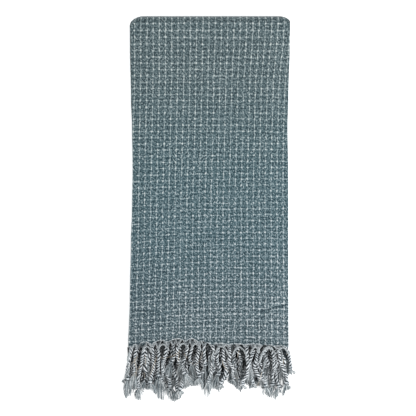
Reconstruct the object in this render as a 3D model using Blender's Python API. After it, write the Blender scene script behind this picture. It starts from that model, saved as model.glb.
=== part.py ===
"""A fringed hammam towel, folded in four across its width and in four along its length.

Metres, +Z up. The folded towel lies on the surface z = 0 with its last fold towards +Y and both of
its fringed ends, one upon the other, towards -Y. The origin is the middle of the underside.

The cloth is modelled flat, as a slab on a grid, and then folded: u runs across the towel's width, v
along its length and w through its thickness, and fold() says where such a point lies once folded.
"""

import bmesh
import bpy
import numpy as np

# The folded towel, which fixes the size of all the rest.
FOLDED_WIDTH = 0.2240
FOLDED_LENGTH = 0.4640  # from the last fold to the hem, without the fringe
CLOTH = 0.0013  # thickness of the cloth
LAYER_GAP = 0.0004  # air between two layers
NODE_GAP = 0.00035  # between the cloth and the strips that carry the fringes

LAYER = CLOTH + LAYER_GAP
BUNDLE = 4 * LAYER  # the towel folded in four across its width
STACK = 4 * BUNDLE - LAYER_GAP  # height of the whole towel, four bundles high

# How the folds lie.
HEM_Y = -FOLDED_LENGTH / 2
TOP_Y = FOLDED_LENGTH / 2
TOP_PRESS = 0.75  # the last fold is pressed to this share of a half circle's depth
TOP_TURN_Y = TOP_Y - TOP_PRESS * (2 * BUNDLE - LAYER_GAP / 2)
FIRST_FOLD_Y = HEM_Y - 0.021  # the first long fold comes out below the hem, under the fringe
LOW_TURN_Y = FIRST_FOLD_Y + BUNDLE - LAYER_GAP / 2
LEFT_TURN_X = -FOLDED_WIDTH / 2 + 1.5 * LAYER + CLOTH / 2
RIGHT_TURN_X = FOLDED_WIDTH / 2 - 0.5 * LAYER - CLOTH / 2
SELVEDGE_X = (0.1075, 0.1055)  # where the third and the fourth layer end, at the right
SIDE_CUTS = (-0.103, -0.093, -0.068, -0.038, -0.008, 0.030, 0.080, 0.100)  # grid lines of a run
LONG_CUTS = (-0.204, -0.165, -0.105, -0.030, 0.055, 0.130, 0.190)

# Outline and unevenness.
CORNER_LEFT = (0.0175, 0.0145)  # half axes of the last fold's rounded corners
CORNER_RIGHT = (0.0145, 0.0085)
# The sides of the folded towel: y, left x, right x, in mm.
OUTLINE = (
    (231, -110.6, 114.6),
    (190, -110.2, 114.2),
    (115, -108.8, 112.2),
    (75, -107.4, 111.0),
    (20, -106.6, 111.9),
    (-40, -107.6, 112.0),
    (-82, -109.2, 111.9),
    (-167, -110.8, 112.0),
    (-231, -113.0, 112.2),
)
# How far the hem is lifted from its level: x, lift, in mm.
HEM_LIFT = (
    (-112, 0.0),
    (-84, 2.0),
    (-55, 5.6),
    (-28, 7.0),
    (8, 3.0),
    (60, 2.2),
    (112, 0.0),
)
HEM_LIFT_REACH = 0.130  # the lift fades out this far above the hem
EDGE_PRESS = 0.11  # share of the height that the folded sides lose
EDGE_REACH = 0.030
HEM_PRESS = 0.05
HEM_PRESS_REACH = 0.060
SWELL = 0.012  # soft rise and fall of the surface, as a share of the height
SWELL_LENGTHS = (0.165, 0.240)
STAGGER = 0.0009  # sideways offset between neighbouring bundles
TUCK = 0.012  # share by which the lowest bundle is narrower than the top one

# The fringe: bundles of warp ends, twisted, knotted and left as a tuft.
STRIP = 0.009  # the heading's last stretch, which carries the cords
ARCH = 0.0035  # how far the hem rises between two cords
ROOT = 0.0046  # width of a cord where it leaves the hem
CORD = 0.0039  # side of a twisted cord
KNOT = 0.0056
NECK = 0.0032
TUFT = (0.0054, 0.0030)  # width and height of the brushed-out end
CORD_CLEAR = 0.0005  # least air between two cords
THROAT_AT = 0.0060  # the flat root has become a cord this far from the hem
KNOT_BEFORE_TIP = 0.0185
KNOT_HALF = 0.0038
FALL = 0.45  # how fast a cord drops from its hem to what it lies on
CLIMB = 0.55  # the steepest that it rises or drops where it crosses others
PLANE_STEP = 0.0005  # cords are laid one on another in planes of constant y, this far apart
SEED = 30

# The upper end's cords that lie in sight: root x in mm, lean at the root and at the tip in degrees, +
# to the right, and length in mm.
FRONT_CORDS = (
    (-106.0, 2, -5, 68),
    (-98.0, -11, -15, 52),
    (-79.0, 0, -8, 57),
    (-57.0, -15, -4, 72),
    (-30.5, -13, -2, 54),
    (-14.5, -2, 0, 56),
    (5.5, 3, -15, 62),
    (28.5, 4, 10, 53),
    (52.5, -2, -6, 58),
    (71.5, -3, 5, 53),
    (95.5, 2, 12, 66),
    (107.5, 10, 9, 47),
)
SECOND_CORDS = (
    (-89.0, 2, -7, 70),
    (-70.5, 1, -1, 54),
    (-48.5, 1, -8, 50),
    (-41.5, 2, 12, 58),
    (-21.8, -6, -9, 50),
    (-6.0, -1, -3, 52),
    (14.5, 0, 3, 55),
    (21.5, 2, -6, 60),
    (38.5, 1, -1, 56),
    (62.0, -7, -10, 51),
    (86.0, 3, 10, 65),
)
IN_SIGHT = {(0, 0): FRONT_CORDS, (0, 1): SECOND_CORDS}  # by end and layer
# The other layers' cords stand below those, this far to the right, in mm, by end and layer.
BELOW = {
    (0, 2): (FRONT_CORDS, 0.6),
    (0, 3): (SECOND_CORDS, -0.4),
    (1, 3): (FRONT_CORDS, 3.0),
    (1, 2): (SECOND_CORDS, 3.0),
    (1, 1): (FRONT_CORDS, 2.4),
    (1, 0): (SECOND_CORDS, 3.4),
}
LAST_ROOT_X = (0.108, 0.108, 0.1025, 0.1025)  # the layers carry no cord beyond this, at the right
ROOT_LEAN = 5.0
TIP_LEAN = 13.0
SIDE_LEAN = 9.0
BASE_LENGTH = 0.0600
LENGTH_SPREAD = 0.0050
LONG_SIDES = 0.0080  # extra length of the cords near the left and right sides


def half_turn(radius):
    """One half turn of a chain; a positive radius turns left and a negative one right."""
    return (np.pi * abs(radius), radius)


# Across the width: fourth layer, outer left fold, front layer, right fold, second layer, inner left
# fold, third layer. Along the length: upper front run, last fold, underside run, first long fold,
# inner run, last fold again, lower front run. Each piece is (length, radius), radius 0 for a run.
ACROSS = (
    (SELVEDGE_X[1] - LEFT_TURN_X, 0),
    half_turn(-1.5 * LAYER),
    (RIGHT_TURN_X - LEFT_TURN_X, 0),
    half_turn(-0.5 * LAYER),
    (RIGHT_TURN_X - LEFT_TURN_X, 0),
    half_turn(0.5 * LAYER),
    (SELVEDGE_X[0] - LEFT_TURN_X, 0),
)
ACROSS_START = (SELVEDGE_X[1], -1.5 * LAYER)
LAYER_RUN = {0: 2, 1: 4, 2: 6, 3: 0}  # which piece of ACROSS is the front layer, the second, and so on
ALONG = (
    (TOP_TURN_Y - HEM_Y, 0),
    half_turn(-1.5 * BUNDLE),
    (TOP_TURN_Y - LOW_TURN_Y, 0),
    half_turn(-0.5 * BUNDLE),
    (TOP_TURN_Y - LOW_TURN_Y, 0),
    half_turn(0.5 * BUNDLE),
    (TOP_TURN_Y - HEM_Y, 0),
)
ALONG_START = (HEM_Y, 3.5 * BUNDLE - LAYER_GAP / 2)
ACROSS_STEPS = (0, 5, 0, 4, 0, 4, 0)
ALONG_STEPS = (0, 8, 0, 5, 0, 4, 0)
CUT_MARGIN = 0.002
TOWEL_WIDTH = sum(length for length, _ in ACROSS)
TOWEL_LENGTH = sum(length for length, _ in ALONG)


def follow(chain, start, heading, at):
    """The points and the left normals at the lengths `at` along a chain of runs and turns."""
    at = np.asarray(at, float)
    point = np.zeros((len(at), 2))
    normal = np.zeros((len(at), 2))
    here = np.array(start, float)
    done = 0.0
    for number, (length, radius) in enumerate(chain):
        on = (at >= done) & ((at < done + length) | (number == len(chain) - 1))
        if number == 0:
            on |= at < done
        ahead = np.array([np.cos(heading), np.sin(heading)])
        left = np.array([-ahead[1], ahead[0]])
        gone = (at[on] - done)[:, None]
        if radius:
            turn = gone / radius
            point[on] = here + radius * (np.sin(turn) * ahead + (1 - np.cos(turn)) * left)
            normal[on] = np.cos(turn) * left - np.sin(turn) * ahead
            whole = length / radius
            here = here + radius * (np.sin(whole) * ahead + (1 - np.cos(whole)) * left)
            heading += whole
        else:
            point[on] = here + gone * ahead
            normal[on] = left
            here = here + length * ahead
        done += length
    return point, normal


def smooth(x, low, high):
    """0 at low, 1 at high, with a soft start and end."""
    t = np.clip((x - low) / (high - low), 0, 1)
    return t * t * (3 - 2 * t)


def press_last_fold(p):
    """Flattens the half circle of the last fold towards +Y."""
    past = np.maximum(p[:, 1] - TOP_TURN_Y, 0)
    p[:, 1] -= (1 - TOP_PRESS) * past


def round_corners(p):
    """Turns each square corner of the last fold into a quarter ellipse, layer by layer."""
    for side, (half_x, half_y) in ((-1, CORNER_LEFT), (1, CORNER_RIGHT)):
        in_x = (side * p[:, 0] - (FOLDED_WIDTH / 2 - half_x)) / half_x
        in_y = (p[:, 1] - (TOP_Y - half_y)) / half_y
        there = (in_x > 0) & (in_y > 0)
        a = in_x[there]
        b = in_y[there]
        p[there, 0] = side * (FOLDED_WIDTH / 2 + half_x * (a * np.sqrt(1 - b * b / 2) - 1))
        p[there, 1] = TOP_Y + half_y * (b * np.sqrt(1 - a * a / 2) - 1)


def soft_table(at, rows):
    """A table's second and later columns, in metres, with a soft passage from row to row."""
    rows = np.array(sorted(rows)) / 1000
    k = np.clip(np.searchsorted(rows[:, 0], at) - 1, 0, len(rows) - 2)
    low, high = rows[k], rows[k + 1]
    share = smooth(at, low[:, 0], high[:, 0])[:, None]
    return (low + (high - low) * share)[:, 1:].T


def draw_sides(p):
    """Gives the two sides their outline, and sets each bundle a little off its neighbour."""
    x, y, z = p.T
    left, right = soft_table(y, OUTLINE)
    level = z / STACK
    share = 0.5 + x / FOLDED_WIDTH * (1 - TUCK * (1 - level))
    shift = STAGGER * np.sin(np.pi * z / BUNDLE + 9 * y) * (1 - level)
    p[:, 0] = left + (right - left) * share + shift


def hem_lift(x, y):
    """How far the hem and the rows above it are lifted towards +Y."""
    (lift,) = soft_table(x, HEM_LIFT)
    return lift * np.clip((HEM_Y + HEM_LIFT_REACH - y) / HEM_LIFT_REACH, 0, 1.1) ** 2


def height_share(x, y):
    """What share of its height the stack keeps: less at its sides and hem, with a little swell."""
    side = smooth(np.abs(x), FOLDED_WIDTH / 2 - EDGE_REACH, FOLDED_WIDTH / 2)
    end = smooth(-y, -HEM_Y - HEM_PRESS_REACH, -HEM_Y)
    wave_x = np.sin(2 * np.pi * x / SWELL_LENGTHS[0] + 1.1)
    wave_y = np.sin(2 * np.pi * y / SWELL_LENGTHS[1] + 0.5)
    return 1 - EDGE_PRESS * side - HEM_PRESS * end + SWELL * (wave_x + wave_y)


def fold(flat):
    """Where the points (u, v, w) of the flat towel lie once it is folded."""
    u, v, w = np.asarray(flat, float).T
    across, across_normal = follow(ACROSS, ACROSS_START, np.pi, u)
    along, along_normal = follow(ALONG, ALONG_START, 0.0, v)
    height = across[:, 1] + w * across_normal[:, 1]
    p = np.empty((len(u), 3))
    p[:, 0] = across[:, 0] + w * across_normal[:, 0]
    p[:, 1:] = along + height[:, None] * along_normal
    press_last_fold(p)
    round_corners(p)
    p[:, 2] *= height_share(p[:, 0], p[:, 1])
    draw_sides(p)
    p[:, 1] += hem_lift(p[:, 0], p[:, 1])
    return p


def grid_lines(chain, start, sign, cuts, turn_steps):
    """The lengths along a chain where the flat slab has a grid line.

    Runs have one at each cut that they pass, so that the layers' lines lie one above the other, and
    turns have theirs at even steps.
    """
    lines = []
    done = 0.0
    for (length, radius), steps in zip(chain, turn_steps):
        if radius:
            lines += [done + length * k / steps for k in range(steps)]
            sign = -sign
        else:
            passed = [sign * (cut - start) for cut in cuts]
            inside = [d for d in passed if CUT_MARGIN < d < length - CUT_MARGIN]
            lines += [done + d for d in sorted([0.0, *inside])]
            start += sign * length
        done += length
    return np.array([*lines, done])


def side_lines():
    """The grid lines across the cloth's width."""
    return grid_lines(ACROSS, SELVEDGE_X[1], -1, SIDE_CUTS, ACROSS_STEPS)


def flat_slab(u_lines, v_lines):
    """A closed slab of the cloth's thickness, flat, with each vertex's grid place beside it."""
    mesh = bmesh.new()
    across, along = len(u_lines) - 1, len(v_lines) - 1
    bmesh.ops.create_grid(mesh, x_segments=across, y_segments=along, size=0.5)
    for vert in mesh.verts:
        vert.co.z = -CLOTH / 2
    grown = bmesh.ops.extrude_face_region(mesh, geom=mesh.faces[:])
    for item in grown["geom"]:
        if isinstance(item, bmesh.types.BMVert):
            item.co.z = CLOTH / 2
    bmesh.ops.recalc_face_normals(mesh, faces=mesh.faces[:])
    mesh.verts.index_update()
    place = {}
    for vert in mesh.verts:
        i = round((vert.co.x + 0.5) * across)
        j = round((vert.co.y + 0.5) * along)
        place[vert] = (i, j)
        vert.co.x = u_lines[i]
        vert.co.y = v_lines[j]
    return mesh, place


def fold_mesh(mesh):
    """Folds every vertex of a flat mesh, straight between the cloth's own grid lines."""
    flat = np.array([vert.co[:] for vert in mesh.verts])
    lines = side_lines()
    k = np.clip(np.searchsorted(lines, flat[:, 0]) - 1, 0, len(lines) - 2)
    share = (flat[:, :1] - lines[k, None]) / (lines[k + 1] - lines[k])[:, None]
    before = fold(np.column_stack([lines[k], flat[:, 1:]]))
    after = fold(np.column_stack([lines[k + 1], flat[:, 1:]]))
    for vert, point in zip(mesh.verts, before + (after - before) * share):
        vert.co = point


def make_object(name, mesh, collection, material):
    """Turns a bmesh into a smooth-shaded object of the part."""
    data = bpy.data.meshes.new(name)
    mesh.to_mesh(data)
    mesh.free()
    data.shade_smooth()
    data.set_sharp_from_angle(angle=np.radians(50))
    data.materials.append(material)
    obj = bpy.data.objects.new(name, data)
    collection.objects.link(obj)
    return obj


def build_cloth(collection, material):
    """The whole woven cloth between its two fringe strips."""
    u_lines = side_lines()
    v_lines = grid_lines(ALONG, HEM_Y, 1, LONG_CUTS, ALONG_STEPS)
    inside = (v_lines > STRIP + 0.002) & (v_lines < TOWEL_LENGTH - STRIP - 0.002)
    first = STRIP + NODE_GAP
    v_lines = np.array([first, *v_lines[inside], TOWEL_LENGTH - first])
    mesh, _ = flat_slab(u_lines, v_lines)
    fold_mesh(mesh)
    return make_object("towel_cloth", mesh, collection, material)


def root_places(end, layer):
    """The x of each cord root of one layer, in metres, left to right."""
    rows, right = (IN_SIGHT[end, layer], 0.0) if (end, layer) in IN_SIGHT else BELOW[end, layer]
    x = np.array([row[0] + right for row in rows]) / 1000
    return x[x < LAST_ROOT_X[layer]]


def cord_plan(x, layer, end, number, chance):
    """(lean at root, lean at tip, length) of a cord, from its table if it lies in sight."""
    if (end, layer) in IN_SIGHT:
        _, lean, tip_lean, length = IN_SIGHT[end, layer][number]
        return np.radians(lean), np.radians(tip_lean), length / 1000
    lean, tip_lean, spread = chance.uniform(-1, 1, 3)
    outward = SIDE_LEAN * (x / (FOLDED_WIDTH / 2)) ** 3
    left_side = np.exp(-(((x + 0.07) / 0.035) ** 2))
    right_side = np.exp(-(((x - 0.09) / 0.025) ** 2))
    length = BASE_LENGTH + LENGTH_SPREAD * spread + LONG_SIDES * (left_side + right_side)
    return np.radians(ROOT_LEAN * lean + outward), np.radians(TIP_LEAN * tip_lean + outward), length


def cord_stations(length):
    """Distance from the root, width and height of a cord's sections, root first."""
    knot = length - KNOT_BEFORE_TIP
    plain = knot - KNOT_HALF - THROAT_AT
    return np.array(
        [
            (0.0, ROOT, CLOTH),
            (THROAT_AT, CORD, CORD),
            (THROAT_AT + plain / 3, CORD, CORD),
            (THROAT_AT + plain * 2 / 3, CORD, CORD),
            (knot - KNOT_HALF, CORD, CORD),
            (knot, KNOT, KNOT),
            (knot + KNOT_HALF, NECK, NECK),
            (length, *TUFT),
        ]
    )


def lay_cord(root, layer, end, number, chance):
    """A cord before it is settled: centre points, widths and heights at its stations."""
    lean, tip_lean, length = cord_plan(root[0], layer, end, number, chance)
    stations = cord_stations(length)
    steps = np.linspace(0, length, 61)
    angle = lean + (tip_lean - lean) * steps / length
    dx = np.concatenate([[0], np.cumsum(np.sin(angle[:-1]) * np.diff(steps))])
    dy = np.concatenate([[0], np.cumsum(np.cos(angle[:-1]) * np.diff(steps))])
    far = stations[:, 0]
    centre = np.empty((len(far), 3))
    centre[:, 0] = root[0] + np.interp(far, steps, dx)
    centre[:, 1] = root[1] - np.interp(far, steps, dy)
    centre[:, 2] = root[2]
    return {"centre": centre, "width": stations[:, 1], "height": stations[:, 2], "end": end}


def slice_cord(cord, planes):
    """x, z, width and height of a cord in the planes of constant y that it passes, else nan."""
    y = -cord["centre"][:, 1]
    rows = [cord["centre"][:, 0], cord["centre"][:, 2], cord["width"], cord["height"]]
    return [np.interp(planes, y, row, left=np.nan, right=np.nan) for row in rows]


def first_fold_top(x, planes):
    """The height of the cloth's first long fold, which lies under the fringe, and 0 beyond it."""
    y = -planes
    y = y - hem_lift(x, y)
    radius = BUNDLE - LAYER_GAP / 2
    past = np.maximum(LOW_TURN_Y - y, 0) / radius
    round_top = radius * (1 + np.sqrt(np.maximum(1 - past * past, 0)))
    return np.where(past < 1, round_top * height_share(x, y) + CORD_CLEAR, 0.0)


def lowest_centres(cord, down, planes):
    """How low a cord's centre may lie in each plane, given the cords that are already down."""
    x, _, width, height = slice_cord(cord, planes)
    lowest = first_fold_top(x, planes) + height / 2
    for other in down:
        other_x, other_z, other_width, other_height = slice_cord(other, planes)
        with np.errstate(invalid="ignore"):
            crossing = np.abs(x - other_x) < (width + other_width) / 2 + 1.6 * CORD_CLEAR
        over = other_z + (other_height + height) / 2 + CORD_CLEAR
        lowest = np.where(crossing, np.fmax(lowest, over), lowest)
    return lowest


def drape(cord, down, planes):
    """Lets a cord fall from its root on to what lies below, no steeper than CLIMB past its throat."""
    centre = cord["centre"]
    reach = -centre[:, 1]
    on = (planes > reach[0] + 0.4 * THROAT_AT) & (planes < reach[-1])
    at = planes[on]
    touching = lowest_centres(cord, down, planes)[on]
    past = at > reach[1]
    gap = np.abs(at[:, None] - at[None, past])
    sloped = np.nanmax(touching[None, past] - CLIMB * gap, axis=1)
    fallen = centre[0, 2] - FALL * (at - reach[0])
    path = np.where(past, np.maximum(sloped, fallen), touching)
    floor = cord["height"][1:] / 2
    centre[1:, 2] = np.maximum(np.interp(reach[1:], at, path), floor)
    nearest = 1 + np.argmin(np.abs(at[:, None] - reach[None, 1:]), axis=1)
    for _ in range(20):
        short = path - np.interp(at, reach, centre[:, 2])
        for k in range(1, len(reach)):
            centre[k, 2] += max(0.0, short[nearest == k].max(initial=0.0))


def settle(cords):
    """Lays the cords down one by one, each on the cloth, the floor and those already there."""
    lowest = min(cord["centre"][:, 1].min() for cord in cords)
    highest = max(cord["centre"][:, 1].max() for cord in cords)
    planes = np.arange(-highest, -lowest, PLANE_STEP)
    down = []
    for cord in cords:
        drape(cord, down, planes)
        down.append(cord)


def strip_lines(end):
    """The grid lines across a fringe strip, which of them rise as arches, and each layer's roots."""
    starts = np.concatenate([[0], np.cumsum([length for length, _ in ACROSS])])
    lines = {}
    roots = []
    for layer in range(4):
        run = LAYER_RUN[layer]
        places = root_places(end, layer)
        rightward = layer in (0, 2)
        for number, x in enumerate(places):
            middle = starts[run] + (x - LEFT_TURN_X)
            if not rightward:
                middle = starts[run + 1] - (x - LEFT_TURN_X)
            lines[middle - ROOT / 2] = False
            lines[middle + ROOT / 2] = False
            roots.append((layer, number, middle - ROOT / 2))
        arches = (places[1:] + places[:-1]) / 2 - LEFT_TURN_X
        for distance in arches:
            lines[starts[run] + distance if rightward else starts[run + 1] - distance] = True
    for number, ((length, radius), steps) in enumerate(zip(ACROSS, ACROSS_STEPS)):
        for k in range(steps or 1):
            lines.setdefault(starts[number] + length * k / (steps or 1), False)
    lines[TOWEL_WIDTH] = False
    u_lines = np.array(sorted(lines))
    return u_lines, [lines[u] for u in u_lines], roots


def fringe_base(end):
    """One strip of heading with its arched edge, folded, and the faces that its cords grow from."""
    u_lines, arched, roots = strip_lines(end)
    edge, inner = (0.0, STRIP) if end == 0 else (TOWEL_LENGTH, TOWEL_LENGTH - STRIP)
    mesh, place = flat_slab(u_lines, sorted((edge, inner)))
    edge_row = 0 if end == 0 else 1
    for vert, (i, j) in place.items():
        if j == edge_row and arched[i]:
            vert.co.y = edge + (ARCH if end == 0 else -ARCH)
    index_of = {round(float(u), 7): i for i, u in enumerate(u_lines)}
    face_at = {}
    for face in mesh.faces:
        corners = [place[vert] for vert in face.verts]
        if all(j == edge_row for _, j in corners):
            face_at[min(i for i, _ in corners)] = face
    fold_mesh(mesh)
    return mesh, [(layer, n, face_at[index_of[round(float(u), 7)]]) for layer, n, u in roots]


def grow_cord(mesh, face, cord):
    """Extrudes a cord out of its root face, section by section."""
    middle = face.calc_center_median()
    corners = [(np.sign(v.co.x - middle.x), np.sign(v.co.z - middle.z)) for v in face.verts]
    for centre, width, height in zip(cord["centre"][1:], cord["width"][1:], cord["height"][1:]):
        face = bmesh.ops.extrude_discrete_faces(mesh, faces=[face])["faces"][0]
        for vert, (right, up) in zip(face.verts, corners):
            vert.co = (centre[0] + right * width / 2, centre[1], centre[2] + up * height / 2)


def build_fringes(collection, materials):
    """Both fringes. The lower end's cords are laid down first, lowest layer first."""
    chance = np.random.default_rng(SEED)
    bases = [fringe_base(end) for end in (0, 1)]
    cords = []
    for end, (_, roots) in enumerate(bases):
        for layer, number, face in roots:
            root = np.array(face.calc_center_median())
            cord = lay_cord(root, layer, end, number, chance)
            cords.append((face, cord))
    settle([cord for _, cord in sorted(cords, key=lambda pair: round(pair[1]["centre"][0, 2], 3))])
    names = ("fringe_upper", "fringe_lower")
    for end, (mesh, _) in enumerate(bases):
        for face, cord in cords:
            if cord["end"] == end:
                grow_cord(mesh, face, cord)
        bmesh.ops.recalc_face_normals(mesh, faces=mesh.faces[:])
        make_object(names[end], mesh, collection, materials[end])


def make_material(name, colour, roughness):
    """A plain dyed-cotton finish."""
    material = bpy.data.materials.new(name)
    material.use_nodes = True
    shader = material.node_tree.nodes["Principled BSDF"]
    shader.inputs["Base Color"].default_value = (*colour, 1.0)
    shader.inputs["Roughness"].default_value = roughness
    shader.inputs["Metallic"].default_value = 0.0
    return material


def main():
    for obj in list(bpy.data.objects):
        bpy.data.objects.remove(obj)
    towel = bpy.data.collections.new("folded_hammam_towel")
    bpy.context.scene.collection.children.link(towel)
    woven = make_material("woven_cotton", (0.145, 0.202, 0.222), 0.95)
    twisted = make_material("twisted_cotton", (0.235, 0.262, 0.278), 0.92)
    build_cloth(towel, woven)
    build_fringes(towel, (twisted, twisted))


main()
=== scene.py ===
"""A fringed hammam towel in soft studio light, folded in four across its width and in four along it.

Metres, +Z up. The towel lies on z = 0 with its last fold towards +Y and both of its fringed ends,
one upon the other, towards -Y. The cloth is one sheet that is worked out flat and then folded: u
runs across the towel's width, v along its length and w through its thickness. A cord is known by
its key: the end of the towel, the layer counted from the top, and its number from the left.
"""

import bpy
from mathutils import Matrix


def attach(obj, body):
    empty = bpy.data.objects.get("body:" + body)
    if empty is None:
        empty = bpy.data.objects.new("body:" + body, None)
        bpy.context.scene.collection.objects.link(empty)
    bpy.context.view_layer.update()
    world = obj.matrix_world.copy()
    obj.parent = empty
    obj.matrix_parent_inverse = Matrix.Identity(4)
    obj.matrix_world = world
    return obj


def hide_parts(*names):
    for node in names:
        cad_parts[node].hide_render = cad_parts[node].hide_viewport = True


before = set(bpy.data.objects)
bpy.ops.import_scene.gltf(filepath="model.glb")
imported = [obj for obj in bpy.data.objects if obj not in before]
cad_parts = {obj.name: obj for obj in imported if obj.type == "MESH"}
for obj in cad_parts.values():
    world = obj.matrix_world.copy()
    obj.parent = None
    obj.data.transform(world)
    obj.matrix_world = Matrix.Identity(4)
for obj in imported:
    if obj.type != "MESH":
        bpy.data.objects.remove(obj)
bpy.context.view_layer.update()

import bpy
import numpy as np

# The folded towel.
FOLDED_WIDTH = 0.2240
FOLDED_LENGTH = 0.4640  # from the last fold to the hem, without the fringe
CLOTH = 0.0013
LAYER_GAP = 0.0004
LAYER = CLOTH + LAYER_GAP
BUNDLE = 4 * LAYER
STACK = 4 * BUNDLE - LAYER_GAP

# How the folds lie.
HEM_Y = -FOLDED_LENGTH / 2
TOP_Y = FOLDED_LENGTH / 2
TOP_PRESS = 0.75  # what share of its depth the last fold keeps
TOP_TURN_Y = TOP_Y - TOP_PRESS * (2 * BUNDLE - LAYER_GAP / 2)
LOW_TURN_Y = HEM_Y - 0.021 + BUNDLE - LAYER_GAP / 2
LEFT_TURN_X = -FOLDED_WIDTH / 2 + 1.5 * LAYER + CLOTH / 2
RIGHT_TURN_X = FOLDED_WIDTH / 2 - 0.5 * LAYER - CLOTH / 2
SELVEDGE_X = (0.1075, 0.1055)  # where the third layer and the lowest one end, at the right
# The solid's hem is straight between these places, and between so many even steps of each turn.
SIDE_CUTS = (-0.103, -0.093, -0.068, -0.038, -0.008, 0.030, 0.080, 0.100)
CUT_MARGIN = 0.002
TURN_STEPS = (0, 5, 0, 4, 0, 4, 0)

# The rounded corners of the last fold, across and along.
CORNER_LEFT = (0.0175, 0.0145)
CORNER_RIGHT = (0.0145, 0.0085)
# The sides of the folded towel: y, left x, right x, in mm.
OUTLINE = (
    (231, -110.6, 114.6), (190, -110.2, 114.2), (115, -108.8, 112.2), (75, -107.4, 111.0),
    (20, -106.6, 111.9), (-40, -107.6, 112.0), (-82, -109.2, 111.9), (-167, -110.8, 112.0),
    (-231, -113.0, 112.2),
)
# How far the hem is lifted from its level: x, lift, in mm.
HEM_LIFT = ((-112, 0.0), (-84, 2.0), (-55, 5.6), (-28, 7.0), (8, 3.0), (60, 2.2), (112, 0.0))
HEM_LIFT_REACH = 0.130
# What share of its height the stack loses towards its sides and its hem, and over how far.
EDGE_PRESS, EDGE_REACH = 0.11, 0.030
HEM_PRESS, HEM_PRESS_REACH = 0.05, 0.060
SWELL = 0.012  # by what share its height rises and sinks, in waves across and along
SWELL_LENGTHS = (0.165, 0.240)
STAGGER = 0.0009  # how far the bundles lie off one another to the sides
TUCK = 0.012  # what share narrower the lowest layers are

# The cords as the solids have them: their width at the root, then on to the knot, in the knot and
# past it, the tuft's width and height, and the air between a cord and what it lies on.
ROOT = 0.0046
CORD = 0.0039
KNOT = 0.0056
NECK = 0.0032
TUFT = (0.0054, 0.0030)
CORD_CLEAR = 0.0005
CLOTH_ABOVE_TABLE, YARN_ABOVE_TABLE = 0.00005, 0.0001
THROAT_AT = 0.0060  # from here on a cord is as thick as it is wide
KNOT_BEFORE_TIP = 0.0185
KNOT_HALF = 0.0038
PLAIN_STATIONS, COURSE_STATIONS = 4, 9  # sections between throat and knot, and with a course
FALL = 0.45  # how steeply a cord falls from the hem
CLIMB = 0.55  # how steeply it climbs over another
PLANE_STEP = 0.0005
RAISING_ROUNDS = 20  # how often a cord's stations are raised until it clears what lies below
SEED = 30
# Where the cords of the two uppermost layers leave the hem: x in mm.
FIRST_ROOTS = (-106, -98, -79, -57, -30.5, -14.5, 5.5, 28.5, 52.5, 71.5, 95.5, 107.5)
SECOND_ROOTS = (-89, -70.5, -48.5, -41.5, -21.8, -6, 14.5, 21.5, 38.5, 62, 86)
# The cords of each end and layer: the roots that they follow, how far to the right of those theirs
# lie, and how far to the right of its root a hidden cord then hangs, in mm.
LAYERS = {
    (0, 0): (FIRST_ROOTS, 0.0, 0.0),
    (0, 1): (SECOND_ROOTS, 0.0, 0.0),
    (0, 2): (FIRST_ROOTS, 0.6, -3.8),
    (0, 3): (SECOND_ROOTS, -0.4, -3.8),
    (1, 0): (SECOND_ROOTS, 3.4, -3.0),
    (1, 1): (FIRST_ROOTS, 2.4, -3.0),
    (1, 2): (SECOND_ROOTS, 3.0, 4.2),
    (1, 3): (FIRST_ROOTS, 3.0, 4.2),
}
IN_SIGHT = ((0, 0), (0, 1))  # layers whose cords all have a course
LAST_ROOT_X = (0.108, 0.108, 0.1025, 0.1025)  # no layer has a cord farther to the right
# A hidden cord: how far it may lean at its root, at its tip and at the sides, in degrees, and how
# long it is, how much that varies and how much longer it is towards the sides.
ROOT_LEAN, TIP_LEAN, SIDE_LEAN = 5.0, 13.0, 9.0
BASE_LENGTH, LENGTH_SPREAD, LONG_SIDES = 0.0600, 0.0050, 0.0080
HIDDEN_POINTS = 61  # points of its line

# The weave: raised light yarns on a teal ground, in columns along the towel and rows across it,
# this far apart.
COLUMN = 0.00851
ROW = 0.00847
YARN_RISE = 0.00022
# The hem between two cords: how far it rises at most, and as a share of their distance, how much
# higher it starts where it is hidden, how much flatter it is on the right half of the uppermost
# layer, how round it is, and how far up the cloth the rows follow it.
ARCH_TOP, ARCH_SHARE, HIDDEN_ARCH, ARCH_FLATTER = 0.0056, 0.34, 0.0030, 0.72
ARCH_ROUND = 0.65
ARCH_FADE = 0.014
# Places across and down are counted in dots of the picture, and the towel's own zero lies at
# DOT_ZERO.
DOT = 0.0014
PICTURE_DOTS = 416
DOT_ZERO = (208.0, 181.0)
CAMERA_OVER = (-0.0007, -0.0371, 0.026)  # the point below the camera where a dot measures DOT
# The even distances of the columns and the rows, and half the width of the front face.
COLUMN_DOTS = 6.08
ROW_DOTS = 6.05
HALF_FACE_DOTS = 72
# How far the columns lie to the right, and the rows down, of an even grid, in dots, at the left,
# middle and right of the towel and at eight heights from its last fold to its hem. The figures
# are those that a scratch script measured on the photograph, rounded.
DRIFT_DOWN = (16, 44, 80, 134, 188, 242, 296, 345)
COLUMN_DRIFT = (
    (0.4, 2.0, 4.7), (0.3, 1.6, 2.8), (0.4, 0.6, -0.9), (-1.1, -0.4, -2.7),
    (-1.6, -2.1, -3.4), (-2.3, -2.5, -2.8), (-3.9, -2.9, -2.3), (-4.8, -3.4, -2.4),
)
ROW_DRIFT = (
    (-2.0, -2.3, -2.0), (1.2, 1.7, 1.4), (3.0, 3.1, 3.3), (4.1, 3.7, 4.3),
    (6.1, 4.0, 2.6), (5.9, 2.4, 1.8), (5.1, 0.1, 0.8), (1.8, -2.2, -2.0),
)
# Painted shadow and highlight lines of small wrinkles on the uppermost layer, whose shape has
# no wrinkles: first and last x, slope, and the y and x of the middle.
WRINKLE_SHADE_LINES = ((-0.112, -0.060, -0.05, -0.1815, -0.086), (0.068, 0.118, 0.27, -0.1775, 0.090))

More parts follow.
